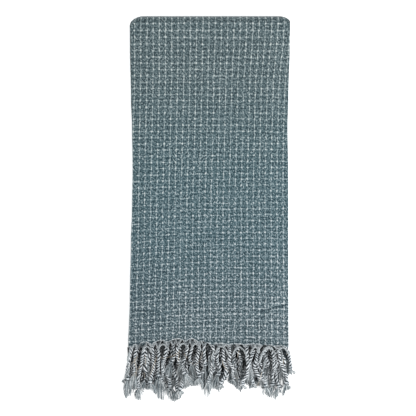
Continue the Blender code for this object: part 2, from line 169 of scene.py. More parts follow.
# The twisted cords.
PLY_AWAY = 0.00098  # from the cord's middle to the middle of either ply
PLY = 0.00145  # half a ply's thickness
TWIST = 0.0082  # one full turn of the two plies
AROUND = 16
RING_STEP = 0.0010
BOW = 0.0021  # how far a cord sways to either side of its straight course
STRANDS = 28  # fibres of a brushed-out end, the first half of them thick
FIBRE = (0.00062, 0.00030)  # half the thickness of a thick and of a thin fibre
# How many times as wide as its solid a tuft spreads, if it hangs by itself and if it rests.
HANGING_SPREAD, RESTING_SPREAD = 2.6, 1.6
ROOT_YARNS = 8  # yarns that run together from the hem's arches into a cord
ROOT_YARN = (0.00052, 0.00058)  # half their thickness at the hem and in the cord
ROOT_YARNS_REACH = 0.0052  # about how far aside of the cord the outermost of them start
# The fringe's ragged lower edge: the tips of its tufts and the notches between them, picked from
# the measured edge, in dots across and down, and how much farther down its fibres reach, as their
# ends hardly show.
LOWER_EDGE = (
    (121, 370), (123, 394), (125, 397), (129, 395), (132, 386), (135, 398), (141, 399), (143, 387),
    (151, 387), (157, 397), (163, 400), (165, 388), (169, 400), (174, 400), (180, 397), (185, 386),
    (200, 382), (203, 394), (209, 396), (211, 387), (216, 387), (219, 392), (223, 379), (232, 382),
    (240, 391), (245, 380), (249, 388), (253, 379), (259, 381), (264, 393), (276, 399), (279, 388),
    (283, 396), (287, 386), (290, 368), (294, 366),
)
FRAY_DOTS = 1.5
HANGING_Y = -0.2910  # only single tufts reach farther down than this
# The cords in sight: the way the plies turn, then places that the cord passes, in dots across and
# down, of which the last but one is its knot and the last the end of its tuft.
COURSES = {
    (0, 0, 0): (1, (130.5, 350), (128.5, 360), (127.5, 370), (127.5, 378), (126.5, 397)),
    (0, 0, 1): (-1, (134.5, 352), (134, 362), (134.5, 371), (131, 387)),
    (0, 0, 2): (1, (152.5, 350), (153, 364), (151, 374), (150, 381), (152, 392)),
    (0, 0, 3): (-1, (165.5, 350), (162.5, 362), (161.5, 372), (161, 378), (161, 400)),
    (0, 0, 4): (-1, (187, 347), (184.5, 357), (182.5, 365), (183.5, 372), (190, 387)),
    (0, 0, 5): (1, (199, 348), (197, 358), (196, 368), (198, 375), (199, 387)),
    (0, 0, 6): (1, (213.5, 352), (212.5, 362), (209.5, 373), (208, 380), (208.5, 396)),
    (0, 0, 7): (1, (229.8, 353), (229, 362), (232, 371), (234.5, 377), (231, 385)),
    (0, 0, 8): (-1, (247, 352), (246.5, 362), (246, 373), (243.5, 383), (242.5, 392)),
    (0, 0, 9): (1, (256, 354), (254, 364), (256.5, 372), (261, 379), (264.5, 385), (268, 394)),
    (0, 0, 10): (1, (279, 351), (279, 360), (282.5, 367), (286, 374), (285.5, 382), (285, 396)),
    (0, 0, 11): (-1, (288, 352), (289.5, 360), (290.5, 368), (292, 380)),
    (0, 1, 0): (-1, (143, 352), (141, 359), (139.5, 369), (138.5, 379), (138, 386), (139, 400)),
    (0, 1, 1): (-1, (158, 350), (158.5, 360), (157.5, 369), (157, 375), (157, 391)),
    (0, 1, 2): (-1, (173.2, 347), (174.6, 355), (170.5, 361), (167, 377)),
    (0, 1, 3): (1, (176.8, 347), (176.2, 355), (180, 361.5), (181, 377)),
    (0, 1, 4): (-1, (191.5, 348), (189, 356), (190.5, 362), (194, 378)),
    (0, 1, 5): (-1, (203.6, 350), (203.8, 357), (204.5, 364), (204, 381)),
    (0, 1, 6): (-1, (217.5, 351), (217, 360), (218.5, 368), (219, 374), (214.5, 389)),
    (0, 1, 7): (1, (223, 350), (223.5, 360), (225.3, 370), (222, 382), (220.5, 394)),
    (0, 1, 8): (1, (238, 351), (240, 361), (240, 372), (238, 380), (237, 388)),
    (0, 1, 9): (-1, (253.5, 350), (251, 357), (248, 364.5), (249, 381)),
    (0, 1, 10): (-1, (264.5, 350), (260, 355), (258, 361), (258.5, 367), (261, 373), (263, 386)),
    (0, 2, 0): (1, (131, 352), (127.8, 362), (126.4, 370), (126, 376), (124.5, 394)),
    (0, 2, 3): (1, (167, 350), (164.5, 359), (164.5, 367), (167, 377), (169, 385), (171, 400)),
    (0, 2, 8): (-1, (248.5, 353), (250.5, 363), (251.5, 373), (250.8, 382), (251, 389)),
    (0, 2, 10): (-1, (275, 352), (275.5, 362), (276.5, 373), (277, 386), (277, 400)),
    (0, 3, 0): (1, (145, 353), (145, 361), (146.5, 370), (147.5, 377), (147, 383), (147, 389)),
    (0, 3, 1): (1, (155.5, 352), (155, 362), (154.5, 372), (155.5, 382), (156, 391)),
    (0, 3, 2): (-1, (171, 351), (171.5, 363), (175, 375), (177, 389), (176, 399)),
    (0, 3, 3): (1, (179, 350), (182, 361), (184, 372), (180.5, 388), (179.5, 398)),
    (0, 3, 8): (-1, (234.5, 352), (233.5, 360), (234, 366), (233, 382)),
    (0, 3, 10): (-1, (272, 351), (272.5, 360), (275, 368), (273, 377), (271, 384), (268, 395)),
}
# Where the tufts that hang by themselves end: those of the courses, and one of a hidden cord.
TUFT_ENDS = {key: course[-1] for key, course in COURSES.items()}
TUFT_ENDS[1, 3, 3] = (164, 390)
CORD_SEED = 7

# The yarns that belong to no cord.
LOOSE_SEED = 11
STRAY_YARNS, BEIGE_YARNS = 46, 13  # fine ends that lie on the cords, the first of them beige
STRAY_RINGS = 22
STRAY_YARN, LOOP_YARN = 0.00030, 0.00048  # half their thickness
# Loops of yarn along the hem: foot, top and foot in dots across and down.
HEM_LOOPS = (
    ((141.5, 352), (146, 346), (151.5, 351)),
    ((157, 350), (162.5, 343.8), (168.5, 350)),
    ((177.5, 348), (182.5, 343), (188, 348)),
    ((191, 348), (195.5, 343.2), (200.5, 350)),
    ((214.5, 354), (221, 345.8), (228.5, 355)),
    ((231.5, 356), (238.5, 346.6), (246, 355)),
    ((250, 353), (254.5, 346.5), (259, 352)),
    ((259.5, 358), (267, 346.5), (274.5, 353)),
    ((259, 362), (264.5, 349), (271.5, 349)),
    ((276.5, 352), (282.5, 347.2), (288.5, 354)),
)
LOOP_RINGS = 30
LOOP_LIGHTS = (0.95, 0.55, 0.80, 0.40)  # one for each yarn that winds round a loop
# Cords that have come untwisted and lie on the pile: x at the hem in mm, lean at the root and at
# the tip in degrees, + to the right, and length in mm.
LOOSE_BUNDLES = (
    (-64.5, 4, -6, 52), (-84.0, -6, 4, 48), (-36.0, 3, -9, 46), (-0.5, 12, -10, 50),
    (8.0, -14, 22, 46), (33.5, -4, 9, 45), (45.5, 4, -5, 50), (79.0, -6, 5, 52),
    (86.0, -28, 14, 56), (101.0, 6, -4, 48), (-110.0, -4, -9, 46),
)
# The bundles that lie on the table under the pile: where their row starts and stops and how far
# they are apart, how far they lean at most and how long they are. The last leans outward.
LOWEST_X = (-111.0, 114.0, 4.7)
LOWEST_LEAN, LOWEST_LENGTH = 6, 56.0
LAST_LOWEST = (108.8, 10, 3, 42.0)
# The yarns of a bundle on the pile and of one on the table: how many they are and how many rings
# each has, how far above the fringe's lower edge they end, how much wider they spread, how far
# they wind, what share the shortest lack, and half their thickness.
ON_PILE = (14, 24, 0.0015, 0.0, 10.6, 0.22, 0.00052)
ON_TABLE = (12, 10, 0.0003, 0.0016, 1.6, 0.07, 0.00085)
# How high a bundle on the pile leaves the hem, and how high the middle of one on the table lies.
BUNDLE_ROOT_Z = 0.86 * STACK
TABLE_BUNDLE_Z = 0.0034

# The pile of cords is measured on a grid: its first corner, how many cells and their size.
PILE_FIRST = np.array([-0.140, -0.320])
PILE_CELLS = (280, 110)
PILE_CELL = 0.001
TABLE_TOP = 0.0008
LIGHT_LEVEL = 1.15  # how much brighter than its own colour a level surface looks in the studio
UP = (0.0, 0.0, 1.0)


def chain(runs, step):
    """Runs and the half turns between them as (length, radius), radius 0 for a run.

    A positive radius turns left and a negative one right.
    """
    pieces = [(runs[0], 0)]
    for run, share in zip(runs[1:], (-1.5, -0.5, 0.5)):
        pieces += [(np.pi * abs(share * step), share * step), (run, 0)]
    return pieces


INNER_RUN = RIGHT_TURN_X - LEFT_TURN_X
ACROSS_RUNS = (SELVEDGE_X[1] - LEFT_TURN_X, INNER_RUN, INNER_RUN, SELVEDGE_X[0] - LEFT_TURN_X)
ACROSS = chain(ACROSS_RUNS, LAYER)
ACROSS_START = (SELVEDGE_X[1], -1.5 * LAYER)
LAYER_RUN = (2, 4, 6, 0)  # the piece of the chain across that is each layer's
FULL_RUN = TOP_TURN_Y - LOW_TURN_Y
ALONG = chain((TOP_TURN_Y - HEM_Y, FULL_RUN, FULL_RUN, TOP_TURN_Y - HEM_Y), BUNDLE)
ALONG_START = (HEM_Y, 3.5 * BUNDLE - LAYER_GAP / 2)
ACROSS_ENDS = np.concatenate([[0], np.cumsum([length for length, _ in ACROSS])])
ALONG_ENDS = np.concatenate([[0], np.cumsum([length for length, _ in ALONG])])
TOWEL_WIDTH = ACROSS_ENDS[-1]
TOWEL_LENGTH = ALONG_ENDS[-1]
ACROSS_PARTS = (12, 9, 104, 6, 12, 6, 12)
ALONG_PARTS = (212, 24, 14, 8, 14, 8, 14)
SEEN_PARTS = 20  # a run with fewer parts is hidden


def follow(pieces, start, heading, at):
    """The points and the left normals at the lengths `at` along a chain of runs and turns."""
    point = np.zeros((len(at), 2))
    normal = np.zeros((len(at), 2))
    here = np.array(start, float)
    done = 0.0
    for number, (length, radius) in enumerate(pieces):
        on = (at >= done) | (number == 0)
        gone = np.append(at[on] - done, length)[:, None]
        turn = gone / radius if radius else 0 * gone
        ahead = np.array([np.cos(heading), np.sin(heading)])
        left = np.array([-ahead[1], ahead[0]])
        bent = radius * (np.sin(turn) * ahead + (1 - np.cos(turn)) * left)
        places = here + (bent if radius else gone * ahead)
        point[on] = places[:-1]
        normal[on] = (np.cos(turn) * left - np.sin(turn) * ahead)[:-1]
        here = places[-1]
        heading += turn[-1, 0]
        done += length
    return point, normal


def smooth(x, low, high):
    """0 at low, 1 at high, with a soft start and end."""
    t = np.clip((x - low) / (high - low), 0, 1)
    return t * t * (3 - 2 * t)


def unit(vectors):
    """Vectors that point the same way and are one long."""
    return vectors / np.maximum(np.linalg.norm(vectors, axis=-1, keepdims=True), 1e-9)


def length_along(line):
    """How far along a line of points each of them lies."""
    return np.concatenate([[0], np.cumsum(np.linalg.norm(np.diff(line, axis=0), axis=1))])


def from_dots(places):
    """The x and y of places given in dots across and down."""
    return (np.array(places, float) - DOT_ZERO) * (DOT, -DOT)


def quadratic(start, bend, stop, t):
    """The curve (1 - t)^2 start + 2 t (1 - t) bend + t^2 stop."""
    return (1 - t) ** 2 * start + 2 * t * (1 - t) * bend + t * t * stop


def all_round(count):
    """So many angles, even all the way round."""
    return np.linspace(0, 2 * np.pi, count, endpoint=False)


def running_mean(rows, weights):
    """Each value's weighted mean with its neighbours in its row, whose ends are carried on."""
    half = len(weights) // 2
    padded = np.pad(rows, ((0, 0), (half, half)), mode="edge")
    shifted = (padded[:, k : k + rows.shape[1]] * weight for k, weight in enumerate(weights))
    return sum(shifted) / sum(weights)


def soft_table(at, rows):
    """A table's second and later columns, in metres, with a soft passage from row to row."""
    rows = np.array(sorted(rows)) / 1000
    k = np.clip(np.searchsorted(rows[:, 0], at) - 1, 0, len(rows) - 2)
    low, high = rows[k], rows[k + 1]
    share = smooth(at, low[:, 0], high[:, 0])[:, None]
    return (low + (high - low) * share)[:, 1:].T


def round_corners(p):
    """Turns each square corner of the last fold into a quarter ellipse, layer by layer."""
    for side, (half_x, half_y) in ((-1, CORNER_LEFT), (1, CORNER_RIGHT)):
        in_x = (side * p[:, 0] - (FOLDED_WIDTH / 2 - half_x)) / half_x
        in_y = (p[:, 1] - (TOP_Y - half_y)) / half_y
        there = (in_x > 0) & (in_y > 0)
        a, b = in_x[there], in_y[there]
        p[there, 0] = side * (FOLDED_WIDTH / 2 + half_x * (a * np.sqrt(1 - b * b / 2) - 1))
        p[there, 1] = TOP_Y + half_y * (b * np.sqrt(1 - a * a / 2) - 1)


def draw_sides(p):
    """Gives the two sides their outline, and sets each bundle a little off its neighbour."""
    x, y, z = p.T
    left, right = soft_table(y, OUTLINE)
    level = z / STACK
    share = 0.5 + x / FOLDED_WIDTH * (1 - TUCK * (1 - level))
    shift = STAGGER * np.sin(np.pi * z / BUNDLE + 9 * y) * (1 - level)
    p[:, 0] = left + (right - left) * share + shift


def hem_lift(x, y):
    """How far the hem and the rows above it are lifted towards +Y."""
    (lift,) = soft_table(x, HEM_LIFT)
    return lift * np.clip((HEM_Y + HEM_LIFT_REACH - y) / HEM_LIFT_REACH, 0, 1.1) ** 2


def height_share(x, y):
    """What share of its height the stack keeps: less at its sides and hem, with a little swell."""
    side = smooth(np.abs(x), FOLDED_WIDTH / 2 - EDGE_REACH, FOLDED_WIDTH / 2)
    end = smooth(-y, -HEM_Y - HEM_PRESS_REACH, -HEM_Y)
    wave_x = np.sin(2 * np.pi * x / SWELL_LENGTHS[0] + 1.1)
    wave_y = np.sin(2 * np.pi * y / SWELL_LENGTHS[1] + 0.5)
    return 1 - EDGE_PRESS * side - HEM_PRESS * end + SWELL * (wave_x + wave_y)


def fold(u, v, w):
    """Where the points (u, v, w) of the flat towel lie once it is folded.

    u follows the chain across, which gives x and the height in a bundle of four layers. v follows
    the chain along, and each point stands off that one by its height in the bundle. Then the last
    fold is pressed and its corners rounded, and the stack gets its height, outline and lifted hem.
    """
    u, v, w = np.broadcast_arrays(u, v, w)
    across, across_normal = follow(ACROSS, ACROSS_START, np.pi, u)
    along, along_normal = follow(ALONG, ALONG_START, 0.0, v)
    height = across[:, 1] + w * across_normal[:, 1]
    p = np.empty((len(u), 3))
    p[:, 0] = across[:, 0] + w * across_normal[:, 0]
    p[:, 1:] = along + height[:, None] * along_normal
    p[:, 1] -= (1 - TOP_PRESS) * np.maximum(p[:, 1] - TOP_TURN_Y, 0)
    round_corners(p)
    p[:, 2] *= height_share(p[:, 0], p[:, 1])
    draw_sides(p)
    p[:, 1] += hem_lift(p[:, 0], p[:, 1])
    return p


def root_lengths(end, layer):
    """How far across the flat towel the cord roots of one layer lie, the folded towel's left first."""
    roots, right, _ = LAYERS[end, layer]
    x = (np.array(roots) + right) / 1000
    run = LAYER_RUN[layer]
    away = x[x < LAST_ROOT_X[layer]] - LEFT_TURN_X
    return ACROSS_ENDS[run] + away if layer in (0, 2) else ACROSS_ENDS[run + 1] - away


def hem_arch(u, end):
    """How far the cut edge stands back from the hem: a round arch between any two cords."""
    rise = np.zeros_like(u)
    for layer in range(4):
        roots = np.sort(root_lengths(end, layer))
        k = np.clip(np.searchsorted(roots, u) - 1, 0, len(roots) - 2)
        wide = roots[k + 1] - roots[k]
        t = (u - roots[k]) / wide
        top = np.minimum(ARCH_TOP, ARCH_SHARE * wide)
        if (end, layer) == (0, 0):
            top *= 1 - ARCH_FLATTER * smooth(fold(u, 0.0, 0.0)[:, 0], -0.016, 0.006)
        else:
            top += HIDDEN_ARCH
        arch = top * np.sin(np.pi * np.clip(t, 0, 1)) ** ARCH_ROUND
        rise = np.where((t > 0) & (t < 1), arch, rise)
    return rise


def spread(ends, parts, ease):
    """Lengths along a chain, so many parts to each piece, closer together at a hidden run's ends."""
    lines = []
    for number, count in enumerate(parts):
        t = np.arange(count) / count
        if count < SEEN_PARTS and number % 2 == 0:
            t = t - ease * np.sin(2 * np.pi * t) / (2 * np.pi)
        lines.append(ends[number] + (ends[number + 1] - ends[number]) * t)
    return np.concatenate([*lines, ends[-1:]])


def drift_at(table, across, down):
    """How far the weave has drifted at a place.

    It changes evenly between its table's heights, and across it follows the parabola through its
    values at the left, middle and right.
    """
    left, middle, right = (np.interp(down, DRIFT_DOWN, side) for side in zip(*table))
    aside = np.clip((across - DOT_ZERO[0]) / HALF_FACE_DOTS, -1.2, 1.2)
    return middle + aside * (right - left) / 2 + aside**2 * ((left + right) / 2 - middle)


def yarn_count(u, v):
    """The column and the row of the weave at points of the flat towel, whole numbers on a yarn.

    On the front face they come from where the point lies, through the drift tables. Elsewhere they
    count on from the nearest point of the front face at the weave's own pitch.
    """
    near_u = np.clip(u, ACROSS_ENDS[2], ACROSS_ENDS[3])
    near_v = np.clip(v, 0, ALONG_ENDS[1])
    face = fold(near_u, near_v, CLOTH / 2)
    across = face[:, 0] / DOT + DOT_ZERO[0]
    down = DOT_ZERO[1] - face[:, 1] / DOT
    column = (across - drift_at(COLUMN_DRIFT, across, down)) / COLUMN_DOTS
    row = (down - drift_at(ROW_DRIFT, across, down)) / ROW_DOTS
    return column + (u - near_u) / COLUMN, row - (v - near_v) / ROW


def add_piece(name, points, faces, material, attributes=None, weave=None):
    """A smooth-shaded piece from its points and faces, with its point attributes and weave map."""
    data = bpy.data.meshes.new(name)
    data.from_pydata(points.tolist(), [], faces)
    data.materials.append(material)
    data.shade_smooth()
    for label, values in (attributes or {}).items():
        layer = data.attributes.new(label, "FLOAT", "POINT")
        layer.data.foreach_set("value", np.asarray(values, np.float32))
    if weave is not None:
        corner = np.empty(len(data.loops), np.int32)
        data.loops.foreach_get("vertex_index", corner)
        layer = data.uv_layers.new(name="weave")
        layer.data.foreach_set("uv", weave[corner].astype(np.float32).ravel())
    data.validate()
    data.update()
    obj = bpy.data.objects.new(name, data)
    bpy.context.scene.collection.objects.link(obj)
    return obj


def build_cloth(pile, material):
    """The whole woven sheet as a closed skin: a grid for its face, one for its back, and its rim.

    The grid's lines across and along are folded by fold(). The face is raised along each yarn by a
    cosine of the yarn count, and each end of the sheet is set back by the arches of its hem.
    """
    u_lines = spread(ACROSS_ENDS, ACROSS_PARTS, ease=0.6)
    v_lines = spread(ALONG_ENDS, ALONG_PARTS, ease=0.5)
    u, v = (a.ravel() for a in np.meshgrid(u_lines, v_lines, indexing="ij"))
    count = len(u)
    from_end = np.minimum(v, TOWEL_LENGTH - v)
    from_side = np.minimum(u, TOWEL_WIDTH - u)
    first = v < TOWEL_LENGTH / 2
    arch = np.where(first, hem_arch(u, 0), -hem_arch(u, 1))
    bent_v = v + arch * np.clip(1 - from_end / ARCH_FADE, 0, 1)
    column, row = yarn_count(u, bent_v)
    fine = (u > ACROSS_ENDS[1]) & (u < ACROSS_ENDS[4]) & (v < ALONG_ENDS[2]) & (from_end > 0.004)
    waves = 0.5 + 0.3 * np.cos(2 * np.pi * column) + 0.2 * np.cos(2 * np.pi * row)
    rise = np.where(fine, waves, 0.4) * YARN_RISE * smooth(from_side, 0, 0.003)
    points = np.concatenate([fold(u, bent_v, CLOTH / 2 + rise), fold(u, bent_v, -CLOTH / 2)])
    points[:, 2] = np.maximum(points[:, 2], CLOTH_ABOVE_TABLE)
    place = np.arange(count).reshape(len(u_lines), len(v_lines))
    face = np.stack([place[:-1, :-1], place[1:, :-1], place[1:, 1:], place[:-1, 1:]], -1)
    face = face.reshape(-1, 4)
    rim = np.concatenate([place[:, 0], place[-1, 1:], place[-2::-1, -1], place[0, -2:0:-1]])
    after = np.roll(rim, -1)
    edge = np.stack([rim, rim + count, after + count, after], -1)
    faces = np.concatenate([face, face[:, ::-1] + count, edge]).tolist()
    in_front = (u > ACROSS_ENDS[2] - 0.003) & (u < ACROSS_ENDS[3] + 0.003) & first
    attributes = {
        # painted shade where the cloth lies under the fringe's pile
        "painted_pile_shade": painted_shade_in_pile(points, pile),
        "front": np.tile(in_front, 2),
        "from_end": np.tile(from_end, 2),
    }
    weave = np.tile(np.column_stack([column, row]), (2, 1))
    return add_piece("towel_weave", points, faces, material, attributes, weave)


def side_lines():
    """The widths between which the cord roots lie on straight lines."""
    lines = []
    start, sign = SELVEDGE_X[1], -1
    for begin, steps, (length, radius) in zip(ACROSS_ENDS, TURN_STEPS, ACROSS):
        if radius:
            lines += [begin + length * k / steps for k in range(steps)]
            sign = -sign
        else:
            passed = [sign * (cut - start) for cut in SIDE_CUTS]
            inside = [d for d in passed if CUT_MARGIN < d < length - CUT_MARGIN]
            lines += [begin + d for d in sorted([0.0, *inside])]
            start += sign * length
    return np.array([*lines, TOWEL_WIDTH])


def cord_root(middle, end):
    """The middle of the place where a cord leaves the hem."""
    lines = side_lines()
    v = 0.0 if end == 0 else TOWEL_LENGTH
    u = middle + ROOT / 2 * np.array([-1, -1, 1, 1])
    w = CLOTH / 2 * np.array([-1, 1, -1, 1])
    k = np.clip(np.searchsorted(lines, u) - 1, 0, len(lines) - 2)
    share = ((u - lines[k]) / (lines[k + 1] - lines[k]))[:, None]
    before, after = fold(lines[k], v, w), fold(lines[k + 1], v, w)
    return (before + (after - before) * share).mean(axis=0)


def cord_stations(length):
    """Distance from the root, width and height of a cord's sections, root first."""
    knot = length - KNOT_BEFORE_TIP
    plain = np.linspace(THROAT_AT, knot - KNOT_HALF, PLAIN_STATIONS)
    rows = [(0.0, ROOT, CLOTH), *((away, CORD, CORD) for away in plain)]
    return np.array([*rows, (knot, KNOT, KNOT), (knot + KNOT_HALF, NECK, NECK), (length, *TUFT)])


def lay_cord(root, key, chance):
    """A cord before it is settled: its key, and its centre, width and height at its stations.

    One in sight passes its course's places on the way to its knot, with more stations. A hidden
    one turns evenly from its lean at the root to that at the tip.
    """
    shares = chance.uniform(-1, 1, 3) if key[:2] not in IN_SIGHT else None
    if key in COURSES:
        places = from_dots(COURSES[key][1:])
        tip = places[-2] + KNOT_BEFORE_TIP * unit(places[-1] - places[-2])
        line = np.array([root[:2], *places[:-1], tip])
        away = length_along(line)
        few = cord_stations(away[-1])
        plain = np.tile(few[1], (COURSE_STATIONS, 1))
        plain[:, 0] = np.linspace(few[1, 0], few[PLAIN_STATIONS, 0], COURSE_STATIONS)
        stations = np.vstack([few[:1], plain, few[PLAIN_STATIONS + 1 :]])
    else:
        at_left = np.exp(-(((root[0] + 0.07) / 0.035) ** 2))
        at_right = np.exp(-(((root[0] - 0.09) / 0.025) ** 2))
        length = BASE_LENGTH + LENGTH_SPREAD * shares[2] + LONG_SIDES * (at_left + at_right)
        outward = SIDE_LEAN * (root[0] / (FOLDED_WIDTH / 2)) ** 3
        lean, tip_lean = np.radians((ROOT_LEAN, TIP_LEAN) * shares[:2] + outward)
        stations = cord_stations(length)
        away = np.linspace(0, length, HIDDEN_POINTS)
        angle = lean + (tip_lean - lean) * away[:-1] / length
        strides = np.stack([np.sin(angle), -np.cos(angle)], -1) * np.diff(away)[:, None]
        line = root[:2] + np.vstack([(0, 0), np.cumsum(strides, axis=0)])
    centre = np.full((len(stations), 3), root[2])
    for k in (0, 1):
        centre[:, k] = np.interp(stations[:, 0], away, line[:, k])
    return {"key": key, "centre": centre, "width": stations[:, 1], "height": stations[:, 2]}


def slice_cord(cord, planes):
    """x, z, width and height of a cord in the planes of constant y that it passes, else nan."""
    y = -cord["centre"][:, 1]
    rows = [cord["centre"][:, 0], cord["centre"][:, 2], cord["width"], cord["height"]]
    return [np.interp(planes, y, row, left=np.nan, right=np.nan) for row in rows]


def first_fold_top(x, planes):
    """The height of the cloth's first long fold, which lies under the fringe, and 0 beyond it."""
    y = -planes - hem_lift(x, -planes)
    radius = BUNDLE - LAYER_GAP / 2
    past = np.maximum(LOW_TURN_Y - y, 0) / radius
    round_top = radius * (1 + np.sqrt(np.maximum(1 - past * past, 0)))
    return np.where(past < 1, round_top * height_share(x, y) + CORD_CLEAR, 0.0)


def lowest_centres(cord, down, planes):
    """How low a cord's centre may lie in each plane, given the cords that are already down."""
    x, _, width, height = slice_cord(cord, planes)
    lowest = first_fold_top(x, planes) + height / 2
    for other in down:
        other_x, other_z, other_width, other_height = slice_cord(other, planes)
        with np.errstate(invalid="ignore"):
            crossing = np.abs(x - other_x) < (width + other_width) / 2 + 1.6 * CORD_CLEAR
        over = other_z + (other_height + height) / 2 + CORD_CLEAR
        lowest = np.where(crossing, np.fmax(lowest, over), lowest)
    return lowest


def drape(cord, down, planes):
    """Lets a cord fall from its root on to what lies below, no steeper than CLIMB past its throat."""
    centre = cord["centre"]
    reach = -centre[:, 1]
    on = (planes > reach[0] + 0.4 * THROAT_AT) & (planes < reach[-1])
    at = planes[on]
    touching = lowest_centres(cord, down, planes)[on]
    past = at > reach[1]
    gap = np.abs(at[:, None] - at[None, past])
    sloped = np.nanmax(touching[None, past] - CLIMB * gap, axis=1)
    fallen = centre[0, 2] - FALL * (at - reach[0])
    path = np.where(past, np.maximum(sloped, fallen), touching)
    centre[1:, 2] = np.maximum(np.interp(reach[1:], at, path), cord["height"][1:] / 2)
    nearest = 1 + np.argmin(np.abs(at[:, None] - reach[None, 1:]), axis=1)
    for _ in range(RAISING_ROUNDS):
        short = path - np.interp(at, reach, centre[:, 2])
        for k in range(1, len(reach)):
            centre[k, 2] += max(0.0, short[nearest == k].max(initial=0.0))


def all_cords():
    """Every cord of both fringes where it lies, in the order of its end, layer and number.

    They are laid down one by one, each on the cloth, the table and those already there.
    """
    chance = np.random.default_rng(SEED)
    cords = []
    for end in (0, 1):
        for layer in range(4):
            for number, middle in enumerate(root_lengths(end, layer)):
                cords.append(lay_cord(cord_root(middle, end), (end, layer, number), chance))
    lowest = min(cord["centre"][:, 1].min() for cord in cords)
    highest = max(cord["centre"][:, 1].max() for cord in cords)
    planes = np.arange(-highest, -lowest, PLANE_STEP)
    down = []
    for cord in sorted(cords, key=lambda cord: round(cord["centre"][0, 2], 3)):
        drape(cord, down, planes)
        down.append(cord)
    for cord in cords:
        if cord["key"] not in COURSES:
            centre = cord["centre"]
            gone = smooth(centre[0, 1] - centre[:, 1], 0.002, 0.016)
            centre[:, 0] += LAYERS[cord["key"][:2]][2] / 1000 * gone
    return cords


def even_path(cord):
    """A cord's centre line as a soft curve with a point every RING_STEP, and each point's length.

    The stations are joined by straight lines, sampled evenly, and averaged with a bell-shaped
    window; both ends are first carried straight on, so that they stay where they are.
    """
    centre = cord["centre"]
    away = length_along(centre)
    at = np.linspace(0, away[-1], int(round(away[-1] / RING_STEP)) + 1)
    line = np.column_stack([np.interp(at, away, centre[:, k]) for k in range(3)])
    pad = 4
    before = 2 * line[0] - line[pad:0:-1]
    after = 2 * line[-1] - line[-2 : -2 - pad : -1]
    window = np.hanning(2 * pad + 3)[1:-1]
    window /= window.sum()
    long = np.concatenate([before, line, after])
    soft = np.column_stack([np.convolve(long[:, k], window, mode="valid") for k in range(3)])
    return soft, at, away


def frames(path):
    """The ahead, side and up directions at each point of paths that never run straight up."""
    ahead = unit(np.gradient(path, axis=-2))
    side = unit(np.cross(ahead, UP))
    return ahead, side, np.cross(side, ahead)


def ring_points(centre, side, up, across, tall, angle):
    """Rings round centres: points at these angles, so far to the side and so far up of each."""
    aside = side[..., None, :] * (across * np.cos(angle))[..., None]
    return centre[..., None, :] + aside + up[..., None, :] * (tall * np.sin(angle))[..., None]


def thin_tubes(centre, radius, light):
    """Rings of thin four-sided tubes along centre, an array (tube, ring, 3), and their light."""
    _, side, up = frames(centre)
    thick = np.broadcast_to(radius, centre.shape[:2])[..., None]
    return lit(ring_points(centre, side, up, thick, thick, all_round(4)), light)


def lit(rings, light):
    """Tubes' rings, and how light each of their points is, from one value for each tube."""
    return rings, np.broadcast_to(np.reshape(light, (-1, 1, 1)), rings.shape[:3])


def skin(rings, first):
    """Points and faces of closed tubes, given their rings as an array (tube, ring, around, 3).

    Each tube is closed at both ends by a fan round the mean of its last ring.
    """
    tubes, count, around, _ = rings.shape
    poles = rings[:, [0, -1]].mean(axis=2)
    points = np.concatenate([rings.reshape(-1, 3), poles.reshape(-1, 3)])
    place = first + np.arange(tubes * count * around).reshape(tubes, count, around)
    following = np.roll(place, -1, axis=2)
    body = np.stack([place[:, :-1], following[:, :-1], following[:, 1:], place[:, 1:]], -1)
    pole = first + tubes * count * around + np.arange(tubes * 2).reshape(tubes, 2, 1)
    root_pole, tip_pole = (np.broadcast_to(pole[:, k], (tubes, around)) for k in (0, 1))
    root_fan = np.stack([following[:, 0], place[:, 0], root_pole], -1).reshape(-1, 3)
    tip_fan = np.stack([place[:, -1], following[:, -1], tip_pole], -1).reshape(-1, 3)
    return points, body.reshape(-1, 4).tolist() + root_fan.tolist() + tip_fan.tolist()


def sway(cord, at):
    """How far a cord stands aside of its straight course: a wave that grows towards the tip."""
    _, layer, number = cord["key"]
    phase = number * 2.4 + layer * 1.3
    length = 0.040 + 0.012 * np.sin(number * 1.7 + layer)
    wave = np.sin(2 * np.pi * at / length + phase) + 0.4 * np.sin(2 * np.pi * at / 0.017 + phase)
    x = cord["centre"][3, 0]  # where it hangs, some way below its root
    most = BOW * (0.75 + 0.75 * smooth(x, -0.010, 0.030)) * (1 - 0.7 * smooth(abs(x), 0.088, 0.106))
    if cord["key"] in COURSES:
        most = 0.30 * most
    return most * wave * smooth(at, 0.003, 0.016) * (0.5 + at / 0.040)


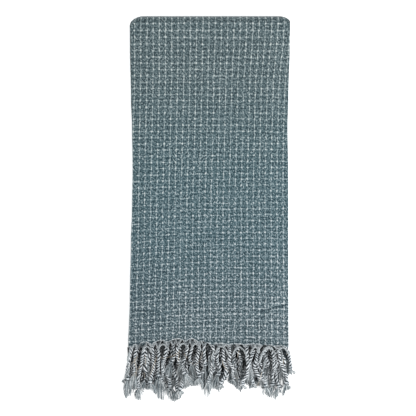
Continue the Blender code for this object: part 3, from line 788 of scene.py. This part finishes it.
def rope_and_knot(cord, hand, chance):
    """The rings of a cord from its root to the neck of its tuft, and how raised each point is, which
    the cord's colour turns into painted shade in the grooves and painted highlights on the plies.

    Two plies lie side by side: round the middle, the outline at an angle a from the line through
    both is PLY_AWAY |cos a| + sqrt(PLY^2 - (PLY_AWAY sin a)^2), and that line turns along the cord.
    The knot is a ball with the yarns wound round it: bands across it that lean a little.
    """
    path, at, away = even_path(cord)
    knot = away[-3]
    stop = np.searchsorted(at, away[-2] + 0.0012)
    path, at = path[:stop], at[:stop]
    _, side, up = frames(path)
    path = path + side * sway(cord, at)[:, None]
    angle = all_round(AROUND)
    turn = hand * 2 * np.pi * at / (TWIST * chance.uniform(0.92, 1.22)) + chance.uniform(0, np.pi)
    turn = turn + 0.7 * np.sin(at / 0.0031 + 9 * turn[0])
    a = angle[None, :] - turn[:, None]
    radius = PLY_AWAY * np.abs(np.cos(a)) + np.sqrt(PLY**2 - (PLY_AWAY * np.sin(a)) ** 2)
    swell = 1 + 0.07 * np.sin(at / 0.011 + chance.uniform(0, 6))
    radius *= (swell * chance.uniform(0.88, 1.10))[:, None]
    in_knot = np.clip((at - knot) / KNOT_HALF, -1, 1)
    ball = np.sqrt(1 - in_knot**2)
    bands = 0.5 + 0.5 * np.cos(6.8 * in_knot[:, None] + 0.9 * hand * np.cos(angle) - 0.8)
    round_knot = NECK / 2 + (KNOT / 2 + 0.0003 - NECK / 2) * ball[:, None] * (0.78 + 0.26 * bands)
    share = smooth(ball, 0.15, 0.7)[:, None]
    radius = radius * (1 - share) + round_knot * share
    # painted shade and highlight: 0 in the grooves between plies and between the knot's bands, 1 on
    # their tops
    ply_shade_and_fibre_tone = np.cos(a) ** 2 * (1 - share) + (0.15 + 0.62 * bands) * share
    radius *= 1 - 0.35 * smooth(at, knot + 0.5 * KNOT_HALF, knot + KNOT_HALF)[:, None]
    flat = smooth(at, 0.0, 0.0055)[:, None]
    tall = np.minimum(CLOTH / 2, radius) * (1 - flat) + radius * flat
    rings = ring_points(path, side, up, radius, tall, angle)
    rings[..., 2] = np.maximum(rings[..., 2], YARN_ABOVE_TABLE)
    return rings[None], ply_shade_and_fibre_tone[None]


def lower_edge(x):
    """The y of the fringe's ragged lower edge at x."""
    down = np.interp(x / DOT + DOT_ZERO[0], *zip(*LOWER_EDGE))
    return (DOT_ZERO[1] - FRAY_DOTS - down) * DOT


def tuft_course(cord, chance):
    """Where a tuft leaves its knot, and from there to where it ends."""
    path, at, away = even_path(cord)
    start = np.searchsorted(at, away[-2] - 0.0006)
    _, side, _ = frames(path)
    aside = sway(cord, at)
    base = path[start] + side[start] * aside[start]
    tip = path[-1] + side[-1] * (2 * aside[start] - aside[start - 6])
    if cord["key"] in TUFT_ENDS:
        tip[:2] = from_dots(TUFT_ENDS[cord["key"]]) - (0, FRAY_DOTS * DOT)
        return base, tip - base
    end = max(lower_edge(tip[0]), HANGING_Y) + chance.uniform(-0.001, 0.004)
    reach = (end - base[1]) / (tip - base)[1]
    return base, (tip - base) * np.clip(reach, 0.8, 1.9)


def tuft_strands(cord, pile, chance):
    """The rings of the loose fibres beyond a knot, and how light each of their points is.

    Each fibre leaves the neck, swings out by its own share of the tuft's half width and half
    height, waves a little and thins to a point; none goes past the fringe's lower edge, and where
    the pile below them ends they hang down to the table.
    """
    base, line = tuft_course(cord, chance)
    length = np.linalg.norm(line)
    ahead = line / length
    side = unit(np.cross(ahead, UP))
    up = np.cross(side, ahead)
    steps = np.linspace(0, 1, 6)
    spin = chance.uniform(0, 2 * np.pi, STRANDS)
    far = np.sqrt(chance.uniform(0.0, 1.0, STRANDS))
    hanging = cord["key"] in TUFT_ENDS
    spreading = HANGING_SPREAD if hanging else RESTING_SPREAD
    out_side = far * np.cos(spin) * TUFT[0] / 2 * spreading
    out_up = far * np.sin(spin) * TUFT[1] / 2
    lowest = lower_edge(base[0] + line[0] + side[0] * out_side)
    lowest = lowest if hanging else np.maximum(lowest, HANGING_Y)
    most = np.maximum((lowest - base[1]) / ahead[1], 0.006)
    reach = np.clip(length * chance.uniform(0.90, 1.20, STRANDS), 0.006, most)
    reach *= chance.uniform(0.96, 1.10, STRANDS) * (1 - 0.08 * far**4)
    swing = chance.uniform(-0.0016, 0.0016, STRANDS)
    wave = chance.uniform(0, 2 * np.pi, STRANDS)
    open_out = 0.25 + 0.75 * np.sin(0.5 * np.pi * np.clip(steps * 1.5, 0, 1))
    sideways = out_side[:, None] * open_out
    sideways += swing[:, None] * np.sin(3.1 * steps + wave[:, None]) * steps
    upward = out_up[:, None] * open_out
    along = ahead * (reach[:, None] * steps)[..., None]
    centre = base + along + side * sideways[..., None] + up * upward[..., None]
    radius = np.where(np.arange(STRANDS) < STRANDS // 2, *FIBRE)[:, None] * (1 - 0.42 * steps**2)
    resting = pile[2](centre[..., 0], centre[..., 1]) + 0.0020 + 0.5 * upward
    centre[..., 2] -= np.maximum(centre[..., 2] - resting, 0) * smooth(steps, 0.05, 0.75)
    centre[..., 2] = np.maximum(centre[..., 2], radius + YARN_ABOVE_TABLE)
    thick = radius[..., None]
    rings = ring_points(centre, side, up, thick, thick, all_round(5))
    return lit(rings, chance.uniform(0, 1, STRANDS))


def root_yarns(cord, chance):
    """Yarns that leave the hem's arches on both sides of a cord and run together into it.

    Each is a quadratic curve: from the edge of the cloth, past the cord's root, to a point in the
    cord a little below its throat.
    """
    end, layer, number = cord["key"]
    offset = np.linspace(-1, 1, ROOT_YARNS) + chance.uniform(-0.1, 0.1, ROOT_YARNS)
    u = root_lengths(end, layer)[number] + offset * ROOT_YARNS_REACH
    u = np.clip(u, 0.0005, TOWEL_WIDTH - 0.0005)
    rise = hem_arch(u, end) + 0.0006
    begin = fold(u, rise if end == 0 else TOWEL_LENGTH - rise, 0.0)
    path, at, _ = even_path(cord)
    stop = path[np.searchsorted(at, 0.0062)]
    round_arch = (0.40 + 0.42 * np.abs(offset))[:, None]
    bend = path[np.searchsorted(at, 0.0025)] + (begin - path[0]) * (1, 0.8, 0) * round_arch
    t = np.linspace(0, 1, 6)[None, :, None]
    centre = quadratic(begin[:, None], bend[:, None], stop, t)
    light = chance.uniform(0.25, 0.85, ROOT_YARNS)
    return thin_tubes(centre, np.linspace(*ROOT_YARN, 6), light)


def pile_top(cords):
    """The height of the fringe's upper side on a grid, as functions of x and y.

    The first is the height itself, the second the greatest height near there, which takes in the
    edge of the uppermost hem, and the third the mean height near there.
    """
    top = np.full(PILE_CELLS, TABLE_TOP)
    for cord in cords:
        path, at, away = even_path(cord)
        high = np.interp(at, away, cord["height"]) / 2 + path[:, 2]
        for right in (-0.002, -0.001, 0.0, 0.001, 0.002):
            place = np.round((path[:, :2] + (right, 0.0) - PILE_FIRST) / PILE_CELL).astype(int)
            np.maximum.at(top, (place[:, 0], place[:, 1]), high)
    x, y = (first + PILE_CELL * np.arange(count) for first, count in zip(PILE_FIRST, PILE_CELLS))
    hem = HEM_Y + hem_lift(x, HEM_Y) - 0.002
    near = np.where(y[None, :] > hem[:, None], STACK * 0.95, top)
    for axis in (0, 1):
        near = np.maximum.reduce([np.roll(near, k, axis) for k in range(-3, 4)])
    mean = top
    for axis in (0, 1):
        near = sum(np.roll(near, k, axis) for k in range(-3, 4)) / 7
        mean = sum(np.roll(mean, k, axis) for k in range(-4, 5)) / 9

    def reader(grid):
        def cell(value, axis):
            steps = np.round((value - PILE_FIRST[axis]) / PILE_CELL).astype(int)
            return np.clip(steps, 0, PILE_CELLS[axis] - 1)

        return lambda x, y: grid[cell(x, 0), cell(y, 1)]

    return reader(top), reader(near), reader(mean)


def painted_shade_in_pile(points, pile):
    """How much painted shade each point gets from its depth in the fringe's pile: 0 near its upper
    side, 1 well below it, less away from the hem.
    """
    x, y, z = points.T
    near_hem = 0.08 + 0.92 * smooth(y, -0.257, -0.242)
    below = (0.36 + 0.64 * near_hem) * smooth(pile[0](x, y) - z, 0.0014, 0.0060)
    lower = 0.78 * near_hem * smooth(pile[1](x, y) - z, 0.0030, 0.0095)
    return np.maximum(below, lower) * (y < HEM_Y + 0.010)


def loose_bundles(rows, pile, chance, kind):
    """Cords that have come untwisted: bundles of yarns that hang from the hem between the others.

    All yarns of a bundle follow one curve, each a little aside of it, and they spread and thin
    towards their ends. The curve lies on the pile and rises to the hem, or lies on the table.
    """
    yarns, count, above_edge, wider, winding, ragged, thick = kind
    x, lean, tip_lean, length = np.array(rows).T[..., None]
    many = len(rows)
    steps = np.linspace(0, 1, count)
    angle = np.radians(lean + (tip_lean - lean) * steps)
    stride = length / 1000 / (count - 1)
    x = x / 1000 + (np.cumsum(np.sin(angle), axis=1) - np.sin(angle[:, :1])) * stride
    y = HEM_Y - 0.001 - (np.cumsum(np.cos(angle), axis=1) - np.cos(angle[:, :1])) * stride
    y += hem_lift(x[:, 0], HEM_Y)[:, None]
    y = np.maximum(y, np.maximum(lower_edge(x), HANGING_Y) + above_edge)
    x += 0.0010 * np.sin(9 * steps + 2.1 * np.arange(many)[:, None]) * steps
    z = np.full(x.shape, TABLE_BUNDLE_Z)
    if kind is ON_PILE:
        z = np.maximum(pile[0](x, y) - 0.0006, BUNDLE_ROOT_Z - 0.0115 * steps / 0.35)
        z[:, 0] = BUNDLE_ROOT_Z
        z = running_mean(z, [1] * 7)
    middle = np.stack([x, y, np.maximum(z, 0.0016)], -1)
    spin = chance.uniform(0, 2 * np.pi, (many, yarns))
    far = np.sqrt(chance.uniform(0, 1, (many, yarns)))
    open_out = 0.0013 + 0.0006 * np.sin(5 * steps) + 0.0022 * steps**3 + wider
    twist = spin[..., None] + winding * steps
    reach = 1 - ragged * chance.uniform(0, 1, (many, yarns)) ** 2
    place = reach[..., None] * steps * (count - 1)
    low = np.clip(place.astype(int), 0, count - 2)
    share = (place - low)[..., None]
    bundle = np.arange(many)[:, None, None]
    centre = middle[bundle, low] * (1 - share) + middle[bundle, low + 1] * share
    centre[..., 0] += far[..., None] * np.cos(twist) * open_out
    centre[..., 1] += chance.uniform(-0.0014, 0.0030, (many, yarns, 1)) * steps**3
    centre[..., 2] += far[..., None] * np.sin(twist) * open_out * 0.55
    centre[..., 2] = np.maximum(centre[..., 2], 0.0009)
    centre = centre.reshape(-1, count, 3)
    return thin_tubes(centre, thick * (1 - 0.6 * steps**4), chance.uniform(0, 1, len(centre)))


def hem_loops(pile, chance):
    """Twisted yarns that lie in loops along the hem, each over a pair of cords.

    A loop is a quadratic curve through its table's two feet, with its top between them; four
    yarns wind round it, and it lies on the uppermost cloth and the pile.
    """
    t = np.linspace(0, 1, LOOP_RINGS)[:, None, None]
    start, top, stop = from_dots(HEM_LOOPS).transpose(1, 0, 2)
    bend = 2 * top - (start + stop) / 2
    line = quadratic(start, bend, stop, t).transpose(1, 0, 2)
    yarns = len(LOOP_LIGHTS)
    spin = 2 * np.pi * np.arange(yarns)[:, None] / yarns + np.linspace(0, 16, LOOP_RINGS)
    spin = spin[None] + chance.uniform(0, 6, (len(line), 1, 1))
    ahead = unit(np.gradient(line, axis=1))
    aside = np.stack([-ahead[..., 1], ahead[..., 0]], -1)
    centre = np.empty((*spin.shape, 3))
    centre[..., :2] = line[:, None] + 0.00075 * np.cos(spin)[..., None] * aside[:, None]
    lift = running_mean(pile[1](line[..., 0], line[..., 1]), [1] * 5)
    centre[..., 2] = lift[:, None] + 0.0006 + 0.0006 * np.sin(spin)
    return thin_tubes(centre.reshape(-1, LOOP_RINGS, 3), LOOP_YARN, LOOP_LIGHTS * len(line))


def lowest_bundles(chance):
    """Rows for the bundles that lie on the table under the whole fringe, side by side."""
    x = np.arange(*LOWEST_X)
    lean = chance.uniform(-LOWEST_LEAN, LOWEST_LEAN, (2, len(x)))
    rows = np.column_stack([x, *lean, np.full(len(x), LOWEST_LENGTH)])
    rows[-1] = LAST_LOWEST
    return rows


def stray_yarns(pile, chance):
    """Fine loose ends: waves that run out from the hem over the pile and lie on its upper side."""
    steps = np.linspace(0, 1, STRAY_RINGS)
    one_each = (STRAY_YARNS, 1)
    length = chance.uniform(0.016, 0.046, one_each)
    start_x = chance.uniform(-0.108, 0.110, one_each)
    start_y = chance.uniform(-0.262, -0.232, one_each)
    lean = chance.normal(0.0, 0.35, one_each)
    bend = chance.normal(0.0, 0.9, one_each)
    wave = chance.uniform(0.0004, 0.0014, one_each)
    phase = chance.uniform(0, 2 * np.pi, one_each)
    angle = lean + bend * steps
    stride = length / (STRAY_RINGS - 1)
    x = start_x + np.cumsum(np.sin(angle), axis=1) * stride + wave * np.sin(7 * steps + phase)
    y = start_y - np.cumsum(np.cos(angle), axis=1) * stride
    x = np.clip(x, -0.118, 0.117)
    y = np.maximum(y, -0.300)
    z = pile[0](x, y)
    high = np.maximum.reduce([np.roll(z, k, axis=1) for k in (-1, 0, 1)])
    centre = np.stack([x, y, running_mean(high, [1, 3, 5, 3, 1]) + 0.0002], -1)
    return thin_tubes(centre, STRAY_YARN * (1 - 0.6 * steps**3), chance.uniform(0, 1, STRAY_YARNS))


def cord_shapes(cords, end, pile):
    """The rings of each rope, root yarns and tuft of one end, each with its looseness and tone."""
    chance = np.random.default_rng(CORD_SEED)
    shapes = []
    for cord in cords:
        own_end, layer, number = cord["key"]
        if own_end == end:
            hand = 1 if np.sin(5.3 * number + 2.1 * layer) > -0.2 else -1
            hand = COURSES.get(cord["key"], (hand,))[0]
            own = chance.uniform(0, 1)
            shapes += [
                (*rope_and_knot(cord, hand, chance), 0.0, own),
                (*root_yarns(cord, chance), 0.5, own),
                (*tuft_strands(cord, pile, chance), 1.0, own),
            ]
    return shapes


def loose_shapes(pile):
    """The rings of the yarns that belong to no cord: strays, bundles and loops."""
    chance = np.random.default_rng(LOOSE_SEED)
    rings, light = stray_yarns(pile, chance)
    return [
        (rings[BEIGE_YARNS:], light[BEIGE_YARNS:], 0.5, 0.0),
        (rings[:BEIGE_YARNS], light[:BEIGE_YARNS], 0.5, -1.0),
        (*loose_bundles(LOOSE_BUNDLES, pile, chance, ON_PILE), 1.0, 0.5),
        (*hem_loops(pile, chance), 0.8, 0.0),
        (*loose_bundles(lowest_bundles(chance), pile, chance, ON_TABLE), 1.0, 0.5),
    ]


def build_fringe(name, shapes, pile, material):
    """One piece from the tubes in shapes."""
    faces = []
    points = np.empty((0, 3))
    values = {"ply_shade_and_fibre_tone": [], "tuft": [], "tone": []}
    for rings, light, loose, own in shapes:
        new, skins = skin(rings, len(points))
        points = np.concatenate([points, new])
        faces += skins
        # the ropes' painted shade and highlight, and the random tone of each loose fibre
        values["ply_shade_and_fibre_tone"] += [light.ravel(), light[:, [0, -1]].mean(axis=2).ravel()]
        values["tuft"].append(np.full(len(new), loose))
        values["tone"].append(np.full(len(new), own))
    attributes = {label: np.concatenate(parts) for label, parts in values.items()}
    # painted shade on the yarns that lie low in the pile
    attributes["painted_pile_shade"] = painted_shade_in_pile(points, pile)
    return add_piece(name, points, faces, material, attributes)


class Finish:
    """A material that is put together from nodes; its methods give back the new node's output."""

    def __init__(self, name, **shader):
        self.material = bpy.data.materials.new(name)
        self.material.use_nodes = True
        self.tree = self.material.node_tree
        self.shader = self.tree.nodes["Principled BSDF"]
        for label, value in shader.items():
            self.shader.inputs[label.replace("_", " ")].default_value = value

    def node(self, kind, values, **settings):
        """Adds a node, sets its properties, and joins or fills its inputs."""
        node = self.tree.nodes.new("ShaderNode" + kind)
        for label, value in settings.items():
            setattr(node, label, value)
        for label, value in values.items():
            if isinstance(value, bpy.types.NodeSocket):
                self.tree.links.new(value, node.inputs[label])
            else:
                node.inputs[label].default_value = value
        return node

    def math(self, operation, a, b=0.0, c=0.0):
        return self.node("Math", {0: a, 1: b, 2: c}, operation=operation).outputs[0]

    def times(self, a, b):
        return self.math("MULTIPLY", a, b)

    def apart(self, a, b):
        """How far two values are apart."""
        return self.math("ABSOLUTE", self.math("SUBTRACT", a, b))

    def add(self, value, *parts):
        """A value and the product of each part."""
        for a, b in parts:
            value = self.math("MULTIPLY_ADD", a, b, value)
        return value

    def vector(self, operation, a, b):
        return self.node("VectorMath", {0: a, 1: b}, operation=operation).outputs[0]

    def split(self, vector):
        return self.node("SeparateXYZ", {0: vector}).outputs

    def attribute(self, name):
        return self.node("Attribute", {}, attribute_name=name).outputs["Fac"]

    def place(self, along=1.0):
        """The piece's own coordinates, stretched along the towel."""
        where = self.node("TexCoord", {}).outputs["Object"]
        return self.node("Mapping", {"Vector": where, "Scale": (1.0, along, 1.0)}).outputs[0]

    def noise(self, where, scale, detail=2.0, rough=0.5, output="Fac"):
        values = {"Vector": where, "Scale": scale, "Detail": detail, "Roughness": rough}
        return self.node("TexNoise", values).outputs[output]

    def remap(self, value, low, high, to_low=0.0, to_high=1.0, kind="SMOOTHSTEP"):
        values = {0: value, 1: low, 2: high, 3: to_low, 4: to_high}
        return self.node("MapRange", values, interpolation_type=kind).outputs[0]

    def ramp(self, value, stops):
        """A colour ramp; its stops are (place, red, green, blue) with colours from 0 to 255."""
        node = self.node("ValToRGB", {"Fac": value})
        entries = node.color_ramp.elements
        while len(entries) < len(stops):
            entries.new(0.5)
        for entry, (at, *colour) in zip(entries, stops):
            entry.position = at
            entry.color = from_screen(colour)
        return node.outputs[0]

    def mix(self, share, a, b, kind="MIX"):
        values = {0: share, 6: a, 7: b}
        return self.node("Mix", values, data_type="RGBA", blend_type=kind).outputs[2]

    def finish(self, colour, painted_pile_shade, height, depth):
        """Paints shade into the colour in the depth of the pile and joins it and the bump to the
        shader.
        """
        # painted shade: the colour mixes towards DEEP_SHADE as far down in the pile as the point lies
        painted_pile_shade = self.times(self.attribute("painted_pile_shade"), painted_pile_shade)
        colour = self.mix(painted_pile_shade, colour, from_screen(DEEP_SHADE))
        bump = self.node("Bump", {"Height": height, "Distance": depth, "Strength": 1.0})
        self.tree.links.new(colour, self.shader.inputs["Base Color"])
        self.tree.links.new(bump.outputs[0], self.shader.inputs["Normal"])
        return self.material


def from_screen(colour):
    """The colour of a surface that looks like these screen values, 0 to 255, in the studio."""
    value = np.array(colour) / 255
    linear = np.where(value <= 0.04045, value / 12.92, ((value + 0.055) / 1.055) ** 2.4)
    return (*(linear / LIGHT_LEVEL), 1.0)


# Screen colours, the ramps with their places from dark to light.
# the colour of the painted shade low in the fringe's pile
DEEP_SHADE = (10, 20, 25)
CORD_SHADE = (70, 92, 100)
BEIGE = (212, 194, 168)
CLOTH_RAMP = (
    (0.00, 36, 56, 64), (0.22, 65, 89, 95), (0.45, 103, 122, 128), (0.68, 149, 164, 168),
    (0.95, 213, 221, 221),
)
# The rope colours run from painted shade in the grooves to painted highlights on the plies.
ROPE_SHADE_AND_HIGHLIGHT_RAMP = (
    (0.18, 2, 8, 12), (0.35, 42, 54, 61), (0.50, 130, 141, 147), (0.67, 206, 213, 218),
    (0.90, 244, 248, 251),
)
LOOSE_RAMP = (
    (0.10, 58, 72, 79), (0.35, 113, 125, 131), (0.55, 150, 160, 164), (0.85, 206, 212, 214),
)
# Tints of the cloth towards its hem and towards its last fold.
LOW_TINT, HIGH_TINT = (1.012, 0.994, 1.018, 1.0), (0.992, 1.000, 0.986, 1.0)
ELSEWHERE = (31.7, 12.3, 0.0)  # so far off, a noise has nothing to do with itself


def woven_cotton():
    """Light raised yarns in columns and rows on a mottled teal ground, brightest where they cross.

    The yarns lie where the wandering yarn count is a whole number. What they, the fibres' speckle
    and the painted shadow and highlight lines of the wrinkles add up to is the place in the ramp of
    the cloth's colours. Its places across and along are x and y: yarns, contrast and colour change
    along the towel as on the real one. Painted shade lies beside the yarns, on the last fold, in the
    hem's crease and low in the pile, and the lower part has painted shade at its left and painted
    light at its right.
    """
    f = Finish("woven_cotton", Roughness=0.95, Sheen_Weight=0.12, Sheen_Roughness=0.5)
    weave = f.node("UVMap", {}, uv_map="weave").outputs[0]
    across, along, _ = f.split(f.place())
    wander = f.vector("SUBTRACT", f.noise(weave, 0.9, 3.0, output="Color"), (0.5, 0.5, 0.5))
    wander = f.vector("MULTIPLY", wander, (0.18, 0.18, 0.0))
    column, row, _ = f.split(f.vector("ADD", weave, wander))
    from_column = f.math("PINGPONG", column, 0.5)
    from_row = f.math("PINGPONG", row, 0.5)

    # The columns and the rows, lighter in patches, their crossings, and painted shade on the ground
    # beside them.
    column_light = f.remap(f.noise(weave, 2.2, 1.0), 0.32, 0.66, 0.70, 1.0)
    column_light = f.times(column_light, f.remap(along, -0.12, 0.14, 0.98, 1.21))
    columns = f.times(f.remap(from_column, 0.155, 0.02), column_light)
    shifted = f.vector("ADD", weave, ELSEWHERE)
    row_light = f.remap(f.noise(shifted, 2.2, 1.0), 0.34, 0.68, 0.62, 1.0)
    row_light = f.times(row_light, f.remap(along, 0.19, 0.00, 0.98, 1.0))
    row_light = f.times(row_light, f.remap(along, -0.03, -0.19, 1.0, 1.10))
    rows = f.times(f.remap(from_row, 0.180, 0.03), row_light)
    yarns = f.math("MAXIMUM", columns, rows)
    crossing = f.times(f.remap(from_column, 0.24, 0.04), f.remap(from_row, 0.26, 0.05))
    shade_beside_yarns = f.math("MAXIMUM", f.remap(from_column, 0.34, 0.20), f.remap(from_row, 0.34, 0.20))

    # Fibres that run a little aslant: a coarse grain and finer ones, fainter on the yarns.
    slant_column = f.add(f.times(column, 1.12), (row, -0.12))
    slant_row = f.add(f.times(row, 0.88), (column, -0.12))
    slant = f.node("CombineXYZ", {0: slant_column, 1: slant_row}).outputs[0]
    grain = f.remap(f.noise(slant, 3.4, 0.0), 0.28, 0.72, kind="LINEAR")
    fibres = f.noise(f.vector("ADD", slant, ELSEWHERE), 6.5, 1.0)
    fibres = f.remap(fibres, 0.32, 0.68, kind="LINEAR")
    speckle = f.add(f.times(fibres, 0.62), (grain, 0.60))
    speckle_share = f.add(f.remap(along, 0.00, 0.12, 1.0, 0.95), (yarns, -0.34))
    clouds = f.remap(f.noise(weave, 0.32, 1.0), 0.3, 0.7, -0.03, 0.03, "LINEAR")
    value = f.add(-0.332, (speckle, speckle_share), (yarns, 0.15), (columns, 0.39), (rows, 0.33))
    value = f.add(value, (crossing, 0.11), (shade_beside_yarns, -0.03), (clouds, 1.0))

    # The lower part has painted shade towards its left side and painted light towards its right side,
    # and is richer in contrast.
    at_left = f.remap(across, -0.105, -0.020, -0.030, 0.0)
    side_shade_and_light = f.add(at_left, (f.remap(across, 0.090, 0.108, 0.0, 0.030), 1.0))
    value = f.add(value, (side_shade_and_light, f.remap(along, -0.04, -0.14)))
    contrast = f.remap(along, -0.09, -0.20, 0.0, 0.13)
    value = f.add(value, (f.math("SUBTRACT", value, 0.40), contrast))
    # each wrinkle: a thin painted shadow line, and a painted highlight line just above it
    for start, stop, slope, middle, centre in WRINKLE_SHADE_LINES:
        line = f.add(along, (f.math("SUBTRACT", across, centre), -slope))
        starting = f.remap(across, start, start + 0.012)
        long = f.times(starting, f.remap(across, stop, stop - 0.012))
        wrinkle_shadow = f.remap(f.apart(line, middle), 0.0020, 0.0004, 0.0, -0.28)
        light = f.remap(f.apart(line, middle + 0.0042), 0.0032, 0.0006, 0.0, 0.12)
        value = f.add(value, (f.math("ADD", wrinkle_shadow, light), long))
    # painted shade on the rounded last fold, which turns away from the light
    last_fold_shade = f.remap(along, 0.216, 0.226, 0.0, -0.042)
    upper_half = f.remap(along, 0.00, 0.12, 0.0, 0.016)
    value = f.add(value, (last_fold_shade, 1.0), (upper_half, 1.0))

    # The hem: a pale edge, a painted shadow of a crease 3.4 mm in, and on the left half a lighter line
    # at the rim.
    from_end = f.attribute("from_end")
    painted_crease_shadow = f.remap(f.apart(from_end, 0.0034), 0.0014, 0.0004)
    hem_line = f.times(f.remap(from_end, 0.0010, 0.0004), f.remap(across, 0.0, -0.020))
    hem = f.add(f.remap(from_end, 0.0026, 0.0006), (painted_crease_shadow, -0.75), (hem_line, 0.55))
    value = f.add(value, (f.times(hem, f.attribute("front")), 0.46))

    # The colours, strongest below the middle, and single threads for the bump.
    strength = f.remap(f.apart(along, -0.04), 0.02, 0.23, 1.22, 0.92)
    values = {"Saturation": strength, "Color": f.ramp(value, CLOTH_RAMP)}
    colour = f.node("HueSaturation", values).outputs[0]
    tint = f.mix(f.remap(along, -0.18, 0.18), LOW_TINT, HIGH_TINT)
    colour = f.mix(1.0, colour, tint, "MULTIPLY")
    over, under, _ = f.split(f.vector("MULTIPLY", weave, (8.0 * np.pi, 8.0 * np.pi, 0.0)))
    threads = f.times(f.math("SINE", over), f.math("SINE", under))
    return f.finish(colour, 0.85, f.add(speckle, (yarns, 1.0), (threads, 0.25)), 0.0004)


def twisted_cotton():
    """Two-ply cords with painted highlights on the plies and painted shade in the grooves, with
    softer, streaked loose ends.
    """
    f = Finish("twisted_cotton", Roughness=0.92, Sheen_Weight=0.15, Sheen_Roughness=0.5)
    ply_shade_and_fibre_tone = f.attribute("ply_shade_and_fibre_tone")
    tone = f.attribute("tone")
    fibres = f.noise(f.place(0.35), 1600.0, 3.0, 0.6)
    fine = f.remap(fibres, 0.3, 0.7, -0.12, 0.12, "LINEAR")
    patches = f.remap(f.noise(f.place(), 420.0, 1.0), 0.3, 0.7, -0.14, 0.14)
    # painted light: cords and loose ends made lighter farther below the hem, against the pile's shade
    painted_light_below_hem = f.remap(f.split(f.place())[1], -0.248, -0.266, 0.0, 0.045)
    rope = f.add(ply_shade_and_fibre_tone, (fine, 1.0), (patches, 1.0), (painted_light_below_hem, 1.0))
    streaks = f.noise(f.place(0.16), 900.0, 2.0, 0.6)
    loose = f.add(-0.44, (ply_shade_and_fibre_tone, 1.05), (streaks, 0.9), (painted_light_below_hem, 1.6))
    colour = f.mix(f.attribute("tuft"), f.ramp(rope, ROPE_SHADE_AND_HIGHLIGHT_RAMP), f.ramp(loose, LOOSE_RAMP))
    shade = f.remap(tone, 0.0, 1.0, 0.0, 0.16, "LINEAR")
    colour = f.mix(shade, colour, from_screen(CORD_SHADE))
    colour = f.mix(f.remap(tone, -0.3, -0.9, 0.0, 0.75), colour, from_screen(BEIGE))
    return f.finish(colour, 0.87, fibres, 0.0003)


def build_studio():
    """A plain near-white floor that glows a little, an even sky and one large soft light.

    The light stands high up to the right, on the fringe's side, and shines on the towel's middle.
    """
    pale = (0.93, 0.93, 0.93, 1.0)
    floor = Finish("floor_white", Roughness=0.9, Emission_Strength=0.55)
    floor.shader.inputs["Base Color"].default_value = pale
    floor.shader.inputs["Emission Color"].default_value = pale
    corners = 12.0 * np.array([(-1, -1, 0), (1, -1, 0), (1, 1, 0), (-1, 1, 0)])
    ground = add_piece("studio_floor", corners, [(0, 1, 2, 3)], floor.material)
    world = bpy.data.worlds.new("even_sky")
    world.use_nodes = True
    sky = world.node_tree.nodes["Background"]
    sky.inputs["Color"].default_value = (1.0, 1.0, 1.0, 1.0)
    sky.inputs["Strength"].default_value = 0.85
    bpy.context.scene.world = world
    lamp = bpy.data.lights.new("soft_box", "AREA")
    lamp.shape = "SQUARE"
    lamp.size = 1.6
    lamp.energy = 58.0
    box = bpy.data.objects.new("soft_box", lamp)
    box.location = (1.9, -1.3, 1.9)
    middle = np.array([0.0, -0.03, 0.0])
    x, y, z = middle - np.array(box.location)
    box.rotation_euler = (np.arctan2(np.hypot(x, y), -z), 0.0, np.arctan2(-x, y))
    bpy.context.scene.collection.objects.link(box)


def place_camera():
    """A long lens straight above the towel, with +Y up in the picture."""
    lens = bpy.data.cameras.new("camera")
    lens.lens = 300.0
    lens.sensor_width = 36.0
    x, y, z = CAMERA_OVER
    camera = bpy.data.objects.new("camera", lens)
    camera.location = (x, y, z + PICTURE_DOTS * DOT * lens.lens / lens.sensor_width)
    bpy.context.scene.collection.objects.link(camera)
    bpy.context.scene.camera = camera
    bpy.context.scene.view_settings.view_transform = "Standard"


def main():
    """The whole scene: camera, studio, cloth, and the fringe in three pieces."""
    place_camera()
    build_studio()
    cloth_finish = woven_cotton()
    cord_finish = twisted_cotton()
    cords = all_cords()
    pile = pile_top(cords)
    cloth = build_cloth(pile, cloth_finish)
    for name, replaced, shapes in (
        ("cords_upper", "fringe_upper", cord_shapes(cords, 0, pile)),
        ("cords_lower", "fringe_lower", cord_shapes(cords, 1, pile)),
        ("cords_loose", "fringe_upper", loose_shapes(pile)),
    ):
        fringe = build_fringe(name, shapes, pile, cord_finish)
        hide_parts(replaced)
        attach(fringe, "root")
    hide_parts("towel_cloth")
    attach(cloth, "root")


main()
